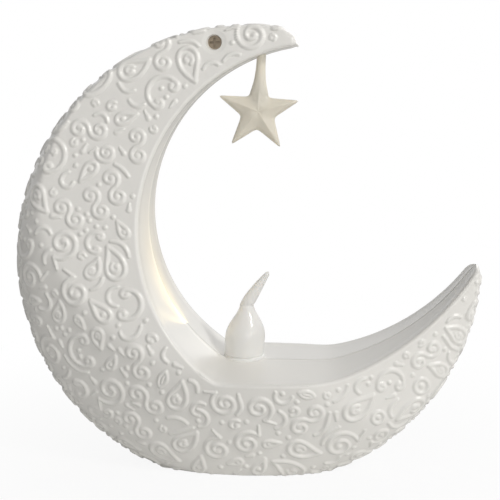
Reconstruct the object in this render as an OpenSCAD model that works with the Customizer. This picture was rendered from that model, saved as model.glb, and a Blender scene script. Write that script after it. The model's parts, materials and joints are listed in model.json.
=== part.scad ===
// Crescent table ornament with a hanging star and a battery candle light.
// Millimetres. +X right, +Y to the back, +Z up. The origin is on the surface it
// stands on, below the centre of the crescent's outer circle. The front faces -Y.

/* [Crescent] */
// Radius of the crescent's outer edge
outer_r = 65; // [62:0.5:68]
// How far the flat base cuts into the outer circle
base_cut = 6.5; // [5.5:0.25:8]
// Half depth that the rounded body would reach on its own axis
belly_half = 24.5; // [23:0.5:26]
// Rounding radius of the body's outer rim
rim_round = 15.5; // [13:0.5:17]
// Half depth that the upward taper leaves at the crescent's centre height
centre_half = 16.4; // [15.5:0.1:17.5]
// How fast the half depth shrinks with height
taper_slope = 0.2; // [0.18:0.01:0.21]
// Half depth that the sideways taper leaves at the lower tip
tip_half = 5.4; // [4.8:0.1:6.5]
// How fast the half depth shrinks towards the lower tip
tip_slope = 0.32; // [0.28:0.01:0.34]
// Wall thickness of the shells
wall = 2; // [1.6:0.1:2.4]

/* [Gap] */
// Gap centre to the right of the crescent's centre
gap_x = 20.4; // [19.5:0.1:21]
// Gap centre above the crescent's centre
gap_z = 11.8; // [11:0.1:12.4]
// How much smaller than the outer edge the gap is at the parting line, as a radius
gap_inset = 16.6; // [16:0.1:18]
// Centre of the flatter right side, to the right of the crescent's centre
ramp_x = 7.7; // [7:0.1:8.5]
// Centre of the flatter right side, above the crescent's centre
ramp_z = 36.3; // [35.5:0.1:37]
// How much larger than the outer edge the flatter right side is, as a radius
ramp_excess = 1.7; // [1:0.1:2.4]
// Height of the candle floor above the standing surface
floor_z = 30; // [29:0.25:31]
// Mould draft of the gap's walls, as a slope
draft_slope = 0.05; // [0.03:0.01:0.06]

/* [Tips] */
// Direction in which the upper tip is cut off, in degrees
upper_trim_angle = 50; // [45:1:60]
// How far that cut lies inside the outer edge
upper_trim_inset = 10.1; // [9:0.1:11]
// Direction in which the lower tip is cut off, in degrees
lower_trim_angle = 80; // [70:1:90]
// Distance of that cut from the crescent's centre
lower_trim_reach = 10.4; // [9:0.1:11.5]

/* [Star] */
// Radius of the star's points
star_r = 10.9; // [9.5:0.1:12]
// Radius of the notches between the points
star_notch_r = 4.7; // [4:0.1:5.5]
// Thickness of the star at its middle
star_thick = 4.8; // [4:0.1:6]
// Thickness of the star along its edge
star_edge = 1.4; // [1:0.1:2]
// Star's middle to the right of the crescent's centre
star_x = 3.1; // [1:0.1:5]
// Length of the stem from the star's middle to the arm's underside
stem_len = 15.2; // [14:0.1:16.5]
// Lean of the stem from upright, in degrees
stem_lean = 3.6; // [0:0.2:6]
// Radius of the stem where it turns in the arm
stem_r = 1.3; // [1.1:0.05:1.5]
// Radius of the stem where it runs into the star
stem_foot_r = 3.2; // [2.4:0.1:3.4]
// Radius of the flange that holds the stem in the arm
stem_flange_r = 2; // [1.8:0.1:2.2]
// Thickness of that flange
stem_flange_h = 1.2; // [1:0.1:1.4]
// Length of the stem inside the arm, below its flange
stem_grip = 2.4; // [2:0.1:2.8]
// Radial clearance of the stem in the arm
turn_gap = 0.05; // [0.03:0.01:0.08]

/* [Candle] */
// Candle axis to the right of the crescent's centre
candle_x = -0.9; // [-2:0.1:2]
// Candle axis behind the parting line
candle_y = 2.8; // [2:0.1:3.5]
// Radius of the candle's collar
collar_r = 6; // [5.6:0.1:6.4]
// Thickness of the collar
collar_h = 1.6; // [1.3:0.1:2]
// How deep the collar sits in the floor
collar_sink = 0.9; // [0.6:0.1:1.1]
// Radius of the flame cover at its foot
flame_r = 5.6; // [5.2:0.1:5.6]
// Height of the flame's round part above the collar
flame_h = 14.4; // [12.5:0.1:15]
// Radius of the neck between the round part and the tail
neck_r = 1.75; // [1.5:0.05:2]
// Height of the tail above the neck
tail_h = 9.2; // [8:0.1:10]
// How far the tail leans to the right
tail_lean = 6.3; // [4:0.1:7]
// Wall thickness of the flame cover
flame_wall = 0.9; // [0.7:0.1:1.1]
// Radius of the skirt that passes the floor
skirt_r = 5.1; // [4.9:0.1:5.2]
// Length of the skirt below the collar
skirt_h = 3.4; // [3.2:0.1:4]
// How far the skirt's snap bead stands out
bead_out = 0.45; // [0.3:0.05:0.5]

/* [Light] */
// Radius of the lamp's lens
lamp_r = 2.5; // [2.3:0.1:2.6]
// Height of the lamp over its rim
lamp_h = 8.6; // [8:0.1:9]
// Radius of the lamp's rim
lamp_rim_r = 2.9; // [2.8:0.05:3]
// Height of the lamp's rim
lamp_rim_h = 1; // [0.8:0.1:1.2]
// Height of the spacer between board and lamp
spacer_h = 6.2; // [6:0.1:6.6]
// Spacing of the lamp's two pins
pin_pitch = 2.54; // [2.4:0.02:2.6]
// Radius of a pin
pin_r = 0.28; // [0.25:0.01:0.3]
// Length of the circuit board
board_l = 21; // [20:0.5:23]
// Width of the circuit board
board_w = 10.6; // [10:0.2:11.4]
// Thickness of the circuit board
board_h = 1; // [0.8:0.1:1.2]
// Distance of the board below the floor's underside
board_drop = 3.6; // [3.4:0.1:4.2]
// Radius of a board post
post_r = 1.7; // [1.5:0.1:1.8]

/* [Battery] */
// Radius of a button cell
cell_r = 5.8; // [5.6:0.05:5.9]
// Thickness of a button cell
cell_h = 5.4; // [5.2:0.05:5.5]
// Radius of a cell's negative cap
cell_cap_r = 4.7; // [4.5:0.1:4.9]
// Height of that cap
cell_cap_h = 0.5; // [0.3:0.1:0.6]
// Number of cells in the row
cell_count = 3; // [3:1:3]
// Clearance round the cells in their tray
cell_gap = 0.3; // [0.2:0.05:0.35]
// Wall thickness of the tray
tray_wall = 1.2; // [1:0.1:1.3]
// Room at each end of the row for its contact
contact_room = 1.4; // [1.2:0.1:1.6]
// Thickness of the contact metal
contact_t = 0.4; // [0.3:0.05:0.5]
// Width of the contacts
contact_w = 6; // [5:0.5:7]
// Width of the tray's flange outside its walls
tray_flange = 1.1; // [1:0.1:1.2]
// Thickness of the battery door
door_t = 1.4; // [1.2:0.1:1.5]
// How far the door lies above the standing surface
door_lift = 0.3; // [0.2:0.05:0.4]
// Clearance round the door
door_gap = 0.3; // [0.2:0.05:0.4]
// Radius of the door's hinge barrel
barrel_r = 0.75; // [0.7:0.05:0.8]
// Radius of the door's hinge pins
hinge_pin_r = 0.5; // [0.45:0.05:0.55]
// Length of the hinge barrel
barrel_l = 8; // [7:0.5:9]

/* [Switch] */
// Length of the slide switch
switch_l = 8.6; // [8:0.1:9]
// Width of the slide switch
switch_w = 3.6; // [3.4:0.1:4]
// Height of the slide switch
switch_h = 3.5; // [3.2:0.1:4]
// Length of the sliding knob
knob_l = 2; // [1.8:0.1:2.2]
// Width of the sliding knob
knob_w = 1.5; // [1.3:0.1:1.6]
// Travel of the knob
knob_travel = 2; // [1.8:0.1:2.2]
// Clearance round the knob
knob_gap = 0.3; // [0.25:0.05:0.35]

/* [Screws] */
// Radius of a case screw's head
head_r = 1.9; // [1.8:0.05:2]
// Height of a case screw's head
head_h = 1.3; // [1.2:0.05:1.4]
// Radius of a case screw's shank
shank_r = 0.9; // [0.85:0.05:0.95]
// Radius of a screw well
well_r = 2.15; // [2.1:0.05:2.3]
// Length of the upper screw below its head
upper_screw_l = 4.2; // [4:0.1:4.4]
// Length of the lower screws below their heads
lower_screw_l = 10; // [9:0.5:11]
// Length of the board screws below their heads
board_screw_l = 3.6; // [3.4:0.1:4]
// Direction of the upper screw from the crescent's centre, in degrees
upper_screw_angle = 98; // [97:0.5:101]
// Direction of the lower left screw, in degrees
left_screw_angle = 213; // [208:1:218]
// Direction of the lower right screw, in degrees
right_screw_angle = 322; // [320:1:326]
// Direction of the left locating pin, in degrees
left_locator_angle = 165; // [160:1:170]
// Direction of the right locating pin, in degrees
right_locator_angle = 300; // [298:1:304]
// Radius of a locating pin
locator_r = 1.2; // [1:0.1:1.4]
// How far a locating pin reaches into the back shell
locator_reach = 3; // [2.5:0.1:4]

/* [Hidden] */
$fn = 96;

// One overrun serves every cut, and one small clearance every fixed seat
over = wall / 2;
seat_gap = turn_gap;

// Body profile: a large arc that runs into the rim's small arc without a corner
rim_centre = outer_r - rim_round;
lens_r = (pow(rim_centre, 2) + pow(belly_half, 2) - pow(rim_round, 2)) / (2 * (belly_half - rim_round));
lens_drop = lens_r - belly_half;
lens_join = rim_centre * lens_r / (lens_r - rim_round);
ring_z = outer_r - base_cut;
reach = outer_r + belly_half;
roof_z = floor_z - wall;

// The gap's two arcs and the cut of the upper tip keep their distance from the outer edge
gap_r = outer_r - gap_inset;
ramp_r = outer_r + ramp_excess;
upper_trim_reach = outer_r - upper_trim_inset;
floor_drop = ring_z - floor_z;

// Places on the arm
function along(angle) = [cos(angle), sin(angle)];
function exit_of(centre, radius, angle) =
    let (c = centre * along(angle)) c + sqrt(c * c - centre * centre + radius * radius);
function floor_exit(angle) = sin(angle) < 0 ? -floor_drop / sin(angle) : reach;
function arm_inner(angle) =
    min(exit_of([gap_x, gap_z], gap_r, angle), exit_of([ramp_x, ramp_z], ramp_r, angle), floor_exit(angle));
function arm_place(angle, share) =
    let (d = arm_inner(angle) * (1 - share) + outer_r * share)
    [d * cos(angle), ring_z + d * sin(angle)];
function half_at_height(z) = centre_half - taper_slope * (z - ring_z);
function half_at_side(x) = tip_half + tip_slope * (outer_r - x);
function gap_top(x) = ring_z + gap_z + sqrt(pow(gap_r, 2) - pow(x - gap_x, 2));

upper_screw_share = 0.7;
lower_screw_share = 0.5;
upper_screw_at = arm_place(upper_screw_angle, upper_screw_share);
left_screw_at = arm_place(left_screw_angle, lower_screw_share);
right_screw_at = arm_place(right_screw_angle, lower_screw_share);
lower_screws_at = [left_screw_at, right_screw_at];
locators_at = [arm_place(left_locator_angle, lower_screw_share),
    arm_place(right_locator_angle, lower_screw_share)];
upper_seat_y = -wall * 0.8;
lower_seat_y = 2 * wall;
boss_r = well_r + 0.8 * wall;
pilot_spare = wall / 2;
locator_boss_r = locator_r + 0.6 * wall;

// Star and its stem
stem_top_x = star_x + stem_len * sin(stem_lean);
stem_top_z = gap_top(stem_top_x);
star_z = stem_top_z - stem_len * cos(stem_lean);
socket_r = stem_flange_r + 0.9 * wall;

// Candle and its board
collar_seat_z = floor_z - collar_sink;
board_top_z = roof_z - board_drop;
post_x = board_l / 2 - post_r - seat_gap;
post_y = candle_y + board_w / 4;
lamp_foot_z = board_top_z + spacer_h;
chip_l = board_w / 3;

// Battery tray, door and switch; the leads are as thick as the contacts' tabs
lead_r = 0.5;
row_l = cell_count * cell_h;
tray_in_l = row_l + 2 * contact_room;
tray_in_w = 2 * (cell_r + cell_gap);
cell_z = door_lift + door_t + seat_gap + cell_r;
tray_h = cell_z + cell_r + cell_gap - wall;
tray_top_z = wall + tray_h + tray_wall;
tab_reach = tray_in_l / 2 + tray_wall + lead_r;
door_x0 = -tray_in_l / 2 - 2 * tray_wall - barrel_r;
door_x1 = tray_in_l / 2 + tray_wall;
door_half_w = tray_in_w / 2;
hinge_z = door_lift + barrel_r;
lug_w = 1.8 * tray_wall;
lug_half = 1.6 * barrel_r;
pin_reach = barrel_l / 2 + 0.7 * lug_w;
opening_x0 = door_x0 - lug_half - door_gap;
opening_x1 = door_x1 + door_gap;
opening_half_w = door_half_w + door_gap;
flange_x0 = opening_x0 - tray_flange;
flange_x1 = opening_x1 + tray_flange;
flange_half_w = opening_half_w + tray_flange;
switch_x = flange_x1 + tray_wall + 2 * seat_gap + switch_l / 2;
switch_slot_l = knob_l + knob_travel + 2 * knob_gap;

// Knob's foot inside the switch: heights over the base, and how far it stands out
foot_z = wall + switch_h / 4;
foot_top = wall + switch_h / 2;
foot_out = knob_gap * 1.5;

// Tooth of the door's latch
latch_w = contact_w;
latch_t = 0.8 * tray_wall;
latch_h = 1.2 * tray_wall;

// Leads: their sides, how finely they bend, and their routes by hand
lead_sides = 8;
lead_steps = 4;
positive_route = [[10.9, -1, 7.6], [12.5, -1.4, 9], [14.5, -2, 11],
    [16.5, -1.6, 10.4], [17.5, -0.6, 9], [17.7, 0, 7]];
switched_route = [[19.9, 0, 7], [20, 1, 9.5], [19, 2, 14],
    [14, 3, 18], [9.5, 1, 20.5], [7.5, -1.2, 23.5]];
negative_route = [[-10.9, 1, 7.6], [-12.5, 1.2, 9], [-14, 2, 13],
    [-13, 1.5, 18], [-10.5, -0.6, 21], [-9.5, -1.2, 23.5]];

// A block beyond a plane at a distance in a direction of the XZ plane; low is its lower side
module beyond(angle, distance, low) {
    translate([0, 0, ring_z]) rotate([0, -angle, 0])
        translate([distance, -reach, low]) cube([reach, 2 * reach, reach]);
}

// An outline in Y and Z, extruded along the whole width
module across(points) {
    rotate([90, 0, 90]) linear_extrude(height = 2 * reach, center = true) polygon(points);
}

// Body profile, turned about the crescent's axis; inset makes the inner form
module lens(inset) {
    translate([0, 0, ring_z]) rotate([90, 0, 0]) rotate_extrude() {
        intersection() {
            translate([0, -lens_drop]) circle(lens_r - inset);
            translate([0, lens_drop]) circle(lens_r - inset);
            translate([0, -belly_half]) square([lens_join, 2 * belly_half]);
        }
        intersection() {
            translate([rim_centre, 0]) circle(rim_round - inset);
            translate([rim_centre, -rim_round]) square([rim_round, 2 * rim_round]);
        }
    }
}

// Taper of the body's faces towards the top, down to a base at the given height
module upward_taper(inset, foot_z) {
    top_z = ring_z + outer_r + over;
    skew = inset * norm([1, taper_slope]);
    low = half_at_height(foot_z) - skew;
    high = half_at_height(top_z) - skew;
    across([[-low, foot_z], [low, foot_z], [high, top_z], [-high, top_z]]);
}

// Taper of the body's faces towards the lower tip
module sideways_taper(inset) {
    skew = inset * norm([1, tip_slope]);
    wide = half_at_side(-reach) - skew;
    slim = half_at_side(outer_r + over) - skew;
    linear_extrude(height = 2 * reach)
        polygon([[-reach, -wide], [outer_r + over, -slim], [outer_r + over, slim], [-reach, wide]]);
}

// Drafted cone pair about an axis along Y, widest at the faces
module drafted(x, z, radius) {
    for (side = [0, 1]) mirror([0, side, 0]) translate([x, 0, ring_z + z]) rotate([-90, 0, 0])
        cylinder(h = belly_half + over, r1 = radius, r2 = radius + draft_slope * (belly_half + over));
}

// The open space inside the crescent; grow widens it for the inner form
module gap(grow) {
    far = belly_half + over;
    low = floor_z - grow;
    edge = low - draft_slope * far;
    top = ring_z + 2 * reach;
    intersection() {
        drafted(gap_x, gap_z, gap_r + grow);
        drafted(ramp_x, ramp_z, ramp_r + grow);
        across([[-far, edge], [0, low], [far, edge], [far, top], [-far, top]]);
    }
}

// The whole crescent, or the same form inset by a wall
module crescent(inset) {
    difference() {
        intersection() {
            lens(inset);
            upward_taper(inset, inset);
            sideways_taper(inset);
        }
        gap(inset);
        beyond(upper_trim_angle, upper_trim_reach - inset, 0);
        beyond(lower_trim_angle, lower_trim_reach - inset, -reach - outer_r / 3);
    }
}

// Everything in front of the parting plane, or behind it
module front_half() {
    translate([-reach, -reach, -over]) cube([2 * reach, reach, 2 * reach]);
}

module back_half() {
    translate([-reach, 0, -over]) cube([2 * reach, reach, 2 * reach]);
}

// A cylinder along Y at a place [x, z], from y0 to y1
module along_y(place, radius, y0, y1) {
    translate([place[0], y0, place[1]]) rotate([-90, 0, 0]) cylinder(h = y1 - y0, r = radius);
}

// Puts a form on the stem's axis, with its zero height at the arm's underside
module at_stem() {
    translate([stem_top_x, 0, stem_top_z]) rotate([0, stem_lean, 0]) children();
}

// A plate with rounded ends, flat on its underside
module bar(x0, x1, half_w, z0, z1) {
    translate([x0, -half_w, z0]) cube([x1 - x0, 2 * half_w, z1 - z0]);
}

// Solid places inside both shells: screw bosses, locating bosses and the stem's socket
module bosses() {
    intersection() {
        crescent(0);
        union() {
            along_y(upper_screw_at, boss_r, -reach, reach);
            for (place = lower_screws_at) along_y(place, boss_r, -reach, reach);
            for (place = locators_at) along_y(place, locator_boss_r, -reach, reach);
            at_stem() cylinder(h = reach / 2, r = socket_r, center = true);
        }
    }
}

// Ledges that hold the tray's flange down, and ribs at the switch's ends
module base_ribs() {
    z0 = wall + tray_wall + seat_gap;
    rib_l = 2 * tray_wall;
    intersection() {
        crescent(0);
        union() {
            for (side = [-1, 1], x = [flange_x0 + rib_l, flange_x1 - 2 * rib_l])
                translate([x, side > 0 ? flange_half_w - tray_flange / 2 : -reach, z0])
                    cube([rib_l, reach - flange_half_w + tray_flange / 2, tray_wall]);
            for (side = [-1, 1])
                translate([switch_x + side * (switch_l / 2 + seat_gap + tray_wall / 2) - tray_wall / 2,
                    -switch_w / 2, wall - over])
                    cube([tray_wall, switch_w, switch_h / 2 + over]);
        }
    }
}

// Bore and flange pocket of the stem, turned as one form with its seam off the parting plane
module stem_room() {
    bore = stem_r + turn_gap;
    pocket = stem_flange_r + 2 * turn_gap;
    low = stem_grip - turn_gap;
    high = stem_grip + stem_flange_h + 2 * turn_gap;
    at_stem() rotate([0, 0, 45]) rotate_extrude()
        polygon([[0, -reach / 4], [bore, -reach / 4], [bore, low], [pocket, low], [pocket, high], [0, high]]);
}

// Openings that cross the parting plane
module shared_cuts() {
    stem_room();
    translate([candle_x, candle_y, collar_seat_z]) cylinder(h = collar_h + over, r = collar_r + seat_gap);
    translate([candle_x, candle_y, roof_z - over]) cylinder(h = wall + 2 * over, r = skirt_r + seat_gap);
    bar(opening_x0, opening_x1, opening_half_w, -over, wall + over);
    bar(switch_x - switch_slot_l / 2, switch_x + switch_slot_l / 2, knob_w / 2 + knob_gap,
        -over, wall + over);
}

// Screw wells and pilots: the upper screw enters from the front, the lower ones from the back
module screw_cuts() {
    along_y(upper_screw_at, well_r, -reach, upper_seat_y);
    along_y(upper_screw_at, shank_r + seat_gap, upper_seat_y - over,
        upper_seat_y + upper_screw_l + pilot_spare / 4);
    for (place = lower_screws_at) {
        along_y(place, well_r, lower_seat_y, reach);
        along_y(place, shank_r + seat_gap, lower_seat_y - lower_screw_l - pilot_spare, lower_seat_y + over);
    }
}

module hollow_crescent() {
    difference() {
        crescent(0);
        crescent(wall);
    }
    bosses();
    base_ribs();
}

module front_shell() {
    color([0.9, 0.89, 0.86])
    difference() {
        union() {
            intersection() {
                hollow_crescent();
                front_half();
            }
            for (place = locators_at) along_y(place, locator_r, -over, locator_reach);
        }
        shared_cuts();
        screw_cuts();
    }
}

// Two posts for the board, up to the floor or the wall above them
module board_posts() {
    intersection() {
        crescent(0);
        for (side = [-1, 1])
            translate([candle_x + side * post_x, post_y, board_top_z]) cylinder(h = floor_z, r = post_r);
    }
}

module back_shell() {
    color([0.88, 0.87, 0.84])
    difference() {
        union() {
            intersection() {
                hollow_crescent();
                back_half();
            }
            board_posts();
        }
        shared_cuts();
        screw_cuts();
        for (place = locators_at)
            along_y(place, locator_r + seat_gap, -over, locator_reach + 2 * seat_gap);
        for (side = [-1, 1])
            translate([candle_x + side * post_x, post_y, board_top_z - over])
                cylinder(h = board_screw_l - board_h + over, r = shank_r + seat_gap);
    }
}

// A pan head screw with its seat at the origin and its shank along +Z
module screw(length) {
    slot_w = head_r / 3;
    difference() {
        translate([0, 0, -head_h]) cylinder(h = head_h, r = head_r);
        for (turn = [0, 90]) rotate([0, 0, turn])
            translate([-0.7 * head_r, -slot_w / 2, -head_h - over])
                cube([1.4 * head_r, slot_w, head_h / 2 + over]);
    }
    cylinder(h = length - shank_r, r = shank_r);
    translate([0, 0, length - shank_r]) cylinder(h = shank_r, r1 = shank_r, r2 = shank_r / 3);
}

module upper_screw() {
    color([0.62, 0.6, 0.56])
    translate([upper_screw_at[0], upper_seat_y, upper_screw_at[1]]) rotate([-90, 0, 0]) screw(upper_screw_l);
}

module lower_screws() {
    color([0.62, 0.6, 0.56])
    for (place = lower_screws_at)
        translate([place[0], lower_seat_y, place[1]]) rotate([90, 0, 0]) screw(lower_screw_l);
}

// Five points with a raised ridge along each arm, front and back
module star_body() {
    rim = [for (i = [0 : 9])
        let (r = i % 2 == 0 ? star_r : star_notch_r, a = 90 + 36 * i) [r * cos(a), r * sin(a)]];
    front = [for (p = rim) [p[0], -star_edge / 2, p[1]]];
    back = [for (p = rim) [p[0], star_edge / 2, p[1]]];
    points = concat(front, back, [[0, -star_thick / 2, 0], [0, star_thick / 2, 0]]);
    fans = [for (i = [0 : 9]) let (j = (i + 1) % 10) each [[20, j, i], [21, 10 + i, 10 + j]]];
    sides = [for (i = [0 : 9]) let (j = (i + 1) % 10) each [[i, j, 10 + j], [i, 10 + j, 10 + i]]];
    polyhedron(points = points, faces = concat(fans, sides));
}

// Half outline of the stem, from inside the star up to its flange
module stem_outline() {
    flare = star_notch_r * 2.6;
    foot = star_notch_r * 0.5;
    top = stem_len + stem_grip + stem_flange_h;
    steps = 12;
    curve = [for (i = [0 : steps])
        let (t = i / steps)
        [stem_r + (stem_foot_r - stem_r) * pow(1 - t, 1.6), foot + (flare - foot) * t]];
    polygon(concat([[0, 0], [star_thick / 3, 0]], curve,
        [[stem_r, stem_len + stem_grip], [stem_flange_r, stem_len + stem_grip],
        [stem_flange_r, top], [0, top]]));
}

module star_pendant() {
    color([0.82, 0.8, 0.73])
    translate([star_x, 0, star_z]) rotate([0, stem_lean, 0]) {
        star_body();
        rotate_extrude() stem_outline();
    }
}

// Radius of the flame's round part at a share of its height
function bell_r(share) = neck_r + (flame_r - neck_r) * pow(max(0, 1 - pow(share, 2.4)), 0.8);

module bell(inset, height) {
    steps = 20;
    polygon(concat([[0, 0]],
        [for (i = [0 : steps]) let (t = i / steps) [max(inset / 4, bell_r(t) - inset), height * t]],
        [[0, height]]));
}

// The leaning tail: rings that swell over the neck and thin out to the tip
module flame_tail() {
    rings = 12;
    sides = 12;
    last = rings * sides;
    centre = [for (i = [0 : rings - 1]) let (t = i / (rings - 1))
        [tail_lean * pow(t, 1.35), 0, tail_h * pow(t, 0.92)]];
    radius = [for (i = [0 : rings - 1]) let (t = i / (rings - 1))
        neck_r * (1 + 0.45 * sin(180 * min(1, 2.2 * t)) * (1 - t)) * (1 - 0.8 * pow(t, 1.6))];
    lean = [for (i = [0 : rings - 1]) let (t = i / (rings - 1)) 48 * pow(t, 0.7)];
    skin = [for (i = [0 : rings - 1], k = [0 : sides - 1])
        let (a = 360 * k / sides, r = radius[i])
        centre[i] + [r * cos(a) * cos(lean[i]), r * sin(a), -r * cos(a) * sin(lean[i])]];
    walls = [for (i = [0 : rings - 2], k = [0 : sides - 1])
        let (n = (k + 1) % sides, a = i * sides + k, b = i * sides + n)
        each [[a, b + sides, b], [a, a + sides, b + sides]]];
    ends = [for (k = [0 : sides - 1]) let (n = (k + 1) % sides)
        each [[last, k, n], [last + 1, last - sides + n, last - sides + k]]];
    polyhedron(points = concat(skin, [centre[0], centre[rings - 1]]), faces = concat(walls, ends));
}

module flame_cover() {
    bead_h = skirt_h - collar_h - seat_gap;
    color([0.83, 0.82, 0.8, 0.7])
    translate([candle_x, candle_y, collar_seat_z]) {
        difference() {
            union() {
                cylinder(h = collar_h, r = collar_r);
                translate([0, 0, -skirt_h]) cylinder(h = skirt_h, r = skirt_r);
                translate([0, 0, -skirt_h])
                    cylinder(h = bead_h - seat_gap, r1 = skirt_r, r2 = skirt_r + bead_out);
                translate([0, 0, collar_h]) rotate_extrude() bell(0, flame_h);
            }
            translate([0, 0, collar_h - over / 4]) rotate_extrude()
                bell(flame_wall, flame_h - 2 * flame_wall);
            translate([0, 0, -skirt_h - over])
                cylinder(h = skirt_h + collar_h + over, r = skirt_r - flame_wall);
        }
        translate([0, 0, collar_h + flame_h - neck_r / 4]) flame_tail();
    }
}

module lamp() {
    color([0.93, 0.9, 0.72, 0.8])
    translate([candle_x, candle_y, lamp_foot_z]) {
        cylinder(h = lamp_rim_h, r = lamp_rim_r);
        cylinder(h = lamp_h - lamp_r, r = lamp_r);
        translate([0, 0, lamp_h - lamp_r]) sphere(r = lamp_r);
    }
}

module lamp_pins() {
    color([0.75, 0.75, 0.74])
    for (side = [-1, 1])
        translate([candle_x + side * pin_pitch / 2, candle_y, board_top_z - board_h - pin_r])
            cylinder(h = spacer_h + board_h + pin_r, r = pin_r);
}

module lamp_spacer() {
    color([0.9, 0.9, 0.88])
    translate([candle_x, candle_y, board_top_z]) difference() {
        cylinder(h = spacer_h, r = lamp_rim_r);
        for (side = [-1, 1]) translate([side * pin_pitch / 2, 0, -over])
            cylinder(h = spacer_h + 2 * over, r = pin_r + seat_gap);
    }
}

module circuit_board() {
    color([0.16, 0.4, 0.26])
    difference() {
        translate([candle_x - board_l / 2, candle_y - board_w / 2, board_top_z - board_h])
            cube([board_l, board_w, board_h]);
        for (side = [-1, 1]) {
            translate([candle_x + side * post_x, post_y, board_top_z - board_h - over])
                cylinder(h = board_h + 2 * over, r = shank_r + seat_gap);
            translate([candle_x + side * pin_pitch / 2, candle_y, board_top_z - board_h - over])
                cylinder(h = board_h + 2 * over, r = pin_r + seat_gap);
        }
    }
}

module board_screws() {
    color([0.62, 0.6, 0.56])
    for (side = [-1, 1])
        translate([candle_x + side * post_x, post_y, board_top_z - board_h]) screw(board_screw_l - shank_r);
}

// Chip under moulded plastic, on the board's underside
module flicker_chip() {
    color([0.09, 0.09, 0.1])
    translate([candle_x - board_l / 4 - chip_l / 2, candle_y - chip_l, board_top_z - board_h - chip_l / 3])
        cube([chip_l, chip_l, chip_l / 3]);
}

module resistor() {
    body_r = chip_l / 4;
    place = [candle_x + board_l / 5, candle_y - board_w / 4, board_top_z - board_h - body_r];
    color([0.72, 0.6, 0.42]) {
        translate(place) rotate([0, 90, 0]) cylinder(h = chip_l, r = body_r, center = true);
        for (side = [-1, 1])
            translate(place + [side * (chip_l / 2 + pin_r), 0, 0]) {
                rotate([0, 90, 0]) cylinder(h = 3 * pin_r, r = pin_r, center = true);
                cylinder(h = body_r, r = pin_r);
            }
    }
}

// Box that the cells go in from below, with a flange on the base and two hinge lugs
module battery_tray() {
    out_x = tray_in_l / 2 + tray_wall;
    out_w = tray_in_w / 2 + tray_wall;
    slot_x = door_x1 - latch_t - door_gap;
    color([0.2, 0.2, 0.21])
    difference() {
        union() {
            bar(-out_x, out_x, out_w, wall, tray_top_z);
            bar(flange_x0, flange_x1, flange_half_w, wall, wall + tray_wall);
            for (side = [-1, 1])
                translate([door_x0 - lug_half, side > 0 ? barrel_l / 2 + seat_gap
                    : -barrel_l / 2 - seat_gap - lug_w, door_lift])
                    cube([2 * lug_half, lug_w, wall - door_lift + over]);
        }
        bar(-tray_in_l / 2, tray_in_l / 2, tray_in_w / 2, wall - over, wall + tray_h);
        translate([door_x0, 0, hinge_z]) rotate([90, 0, 0])
            cylinder(h = 2 * pin_reach + 2 * seat_gap, r = hinge_pin_r + turn_gap, center = true);
        bar(slot_x, door_x1 + door_gap, latch_w / 2 + door_gap, wall - over, wall + tray_wall + latch_h);
        for (side = [-1, 1])
            translate([side * (out_x - tray_wall / 2), -side * lead_r * 2, cell_z])
                rotate([0, 90, 0]) cylinder(h = tray_wall + 2 * over, r = lead_r + cell_gap, center = true);
    }
}

// Button cell with its cap towards -X
module cell(index) {
    x0 = -row_l / 2 + index * cell_h;
    translate([x0, 0, cell_z]) rotate([0, 90, 0]) {
        cylinder(h = cell_cap_h, r = cell_cap_r);
        translate([0, 0, cell_cap_h]) cylinder(h = cell_h - cell_cap_h, r = cell_r);
    }
}

module cell_left() { color([0.74, 0.74, 0.73]) cell(0); }
module cell_middle() { color([0.74, 0.74, 0.73]) cell(1); }
module cell_right() { color([0.74, 0.74, 0.73]) cell(2); }

// Flat plate against the tray's end wall, with a dimple that meets the last cell
module positive_contact() {
    x1 = tray_in_l / 2;
    color([0.8, 0.79, 0.74]) {
        translate([x1 - contact_t, -contact_w / 2, cell_z - contact_w / 2])
            cube([contact_t, contact_w, contact_w]);
        translate([row_l / 2, 0, cell_z]) rotate([0, 90, 0])
            cylinder(h = contact_room - contact_t / 2, r = contact_w / 4);
        translate([x1 - contact_t, -2 * lead_r, cell_z]) rotate([0, 90, 0])
            cylinder(h = tab_reach - x1 + contact_t, r = lead_r);
    }
}

// Leaf spring: a plate on the wall and a tongue that leans to the first cell
module negative_contact() {
    x0 = -tray_in_l / 2;
    tongue = contact_w - contact_t;
    lean = asin((contact_room - contact_t) / tongue);
    color([0.8, 0.79, 0.74]) {
        translate([x0, -contact_w / 2, cell_z - contact_w / 2]) cube([contact_t, contact_w, contact_w]);
        translate([x0, -contact_w / 4, cell_z - contact_w / 2]) rotate([0, lean, 0])
            cube([contact_t, contact_w / 2, tongue]);
        translate([-tab_reach, 2 * lead_r, cell_z]) rotate([0, 90, 0])
            cylinder(h = tab_reach + x0 + contact_t, r = lead_r);
    }
}

// Flat door with a hinge barrel at one end and a snap tooth at the other
module battery_door() {
    neck_w = barrel_l / 2;
    knuckle = lug_half + door_gap;
    color([0.86, 0.85, 0.82]) {
        bar(door_x0 + knuckle, door_x1, door_half_w, door_lift, door_lift + door_t);
        bar(door_x0, door_x0 + knuckle + over / 4, neck_w, door_lift, hinge_z);
        translate([door_x0, 0, hinge_z]) rotate([90, 0, 0]) {
            cylinder(h = barrel_l, r = barrel_r, center = true);
            cylinder(h = 2 * pin_reach, r = hinge_pin_r, center = true);
        }
        bar(door_x1 - latch_t, door_x1, latch_w / 2, door_lift + door_t - over / 4,
            wall + tray_wall + latch_h - door_gap);
    }
}

module switch_body() {
    slot = knob_l / 2 + knob_travel / 2 + knob_gap / 2;
    color([0.5, 0.5, 0.5])
    difference() {
        translate([switch_x - switch_l / 2, -switch_w / 2, wall]) cube([switch_l, switch_w, switch_h]);
        bar(switch_x - slot, switch_x + slot, knob_w / 2 + knob_gap / 2, wall - over, foot_top);
        bar(switch_x - slot - foot_out, switch_x + slot + foot_out, knob_w / 2 + knob_gap / 2 + foot_out,
            foot_z, foot_top);
    }
}

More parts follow.
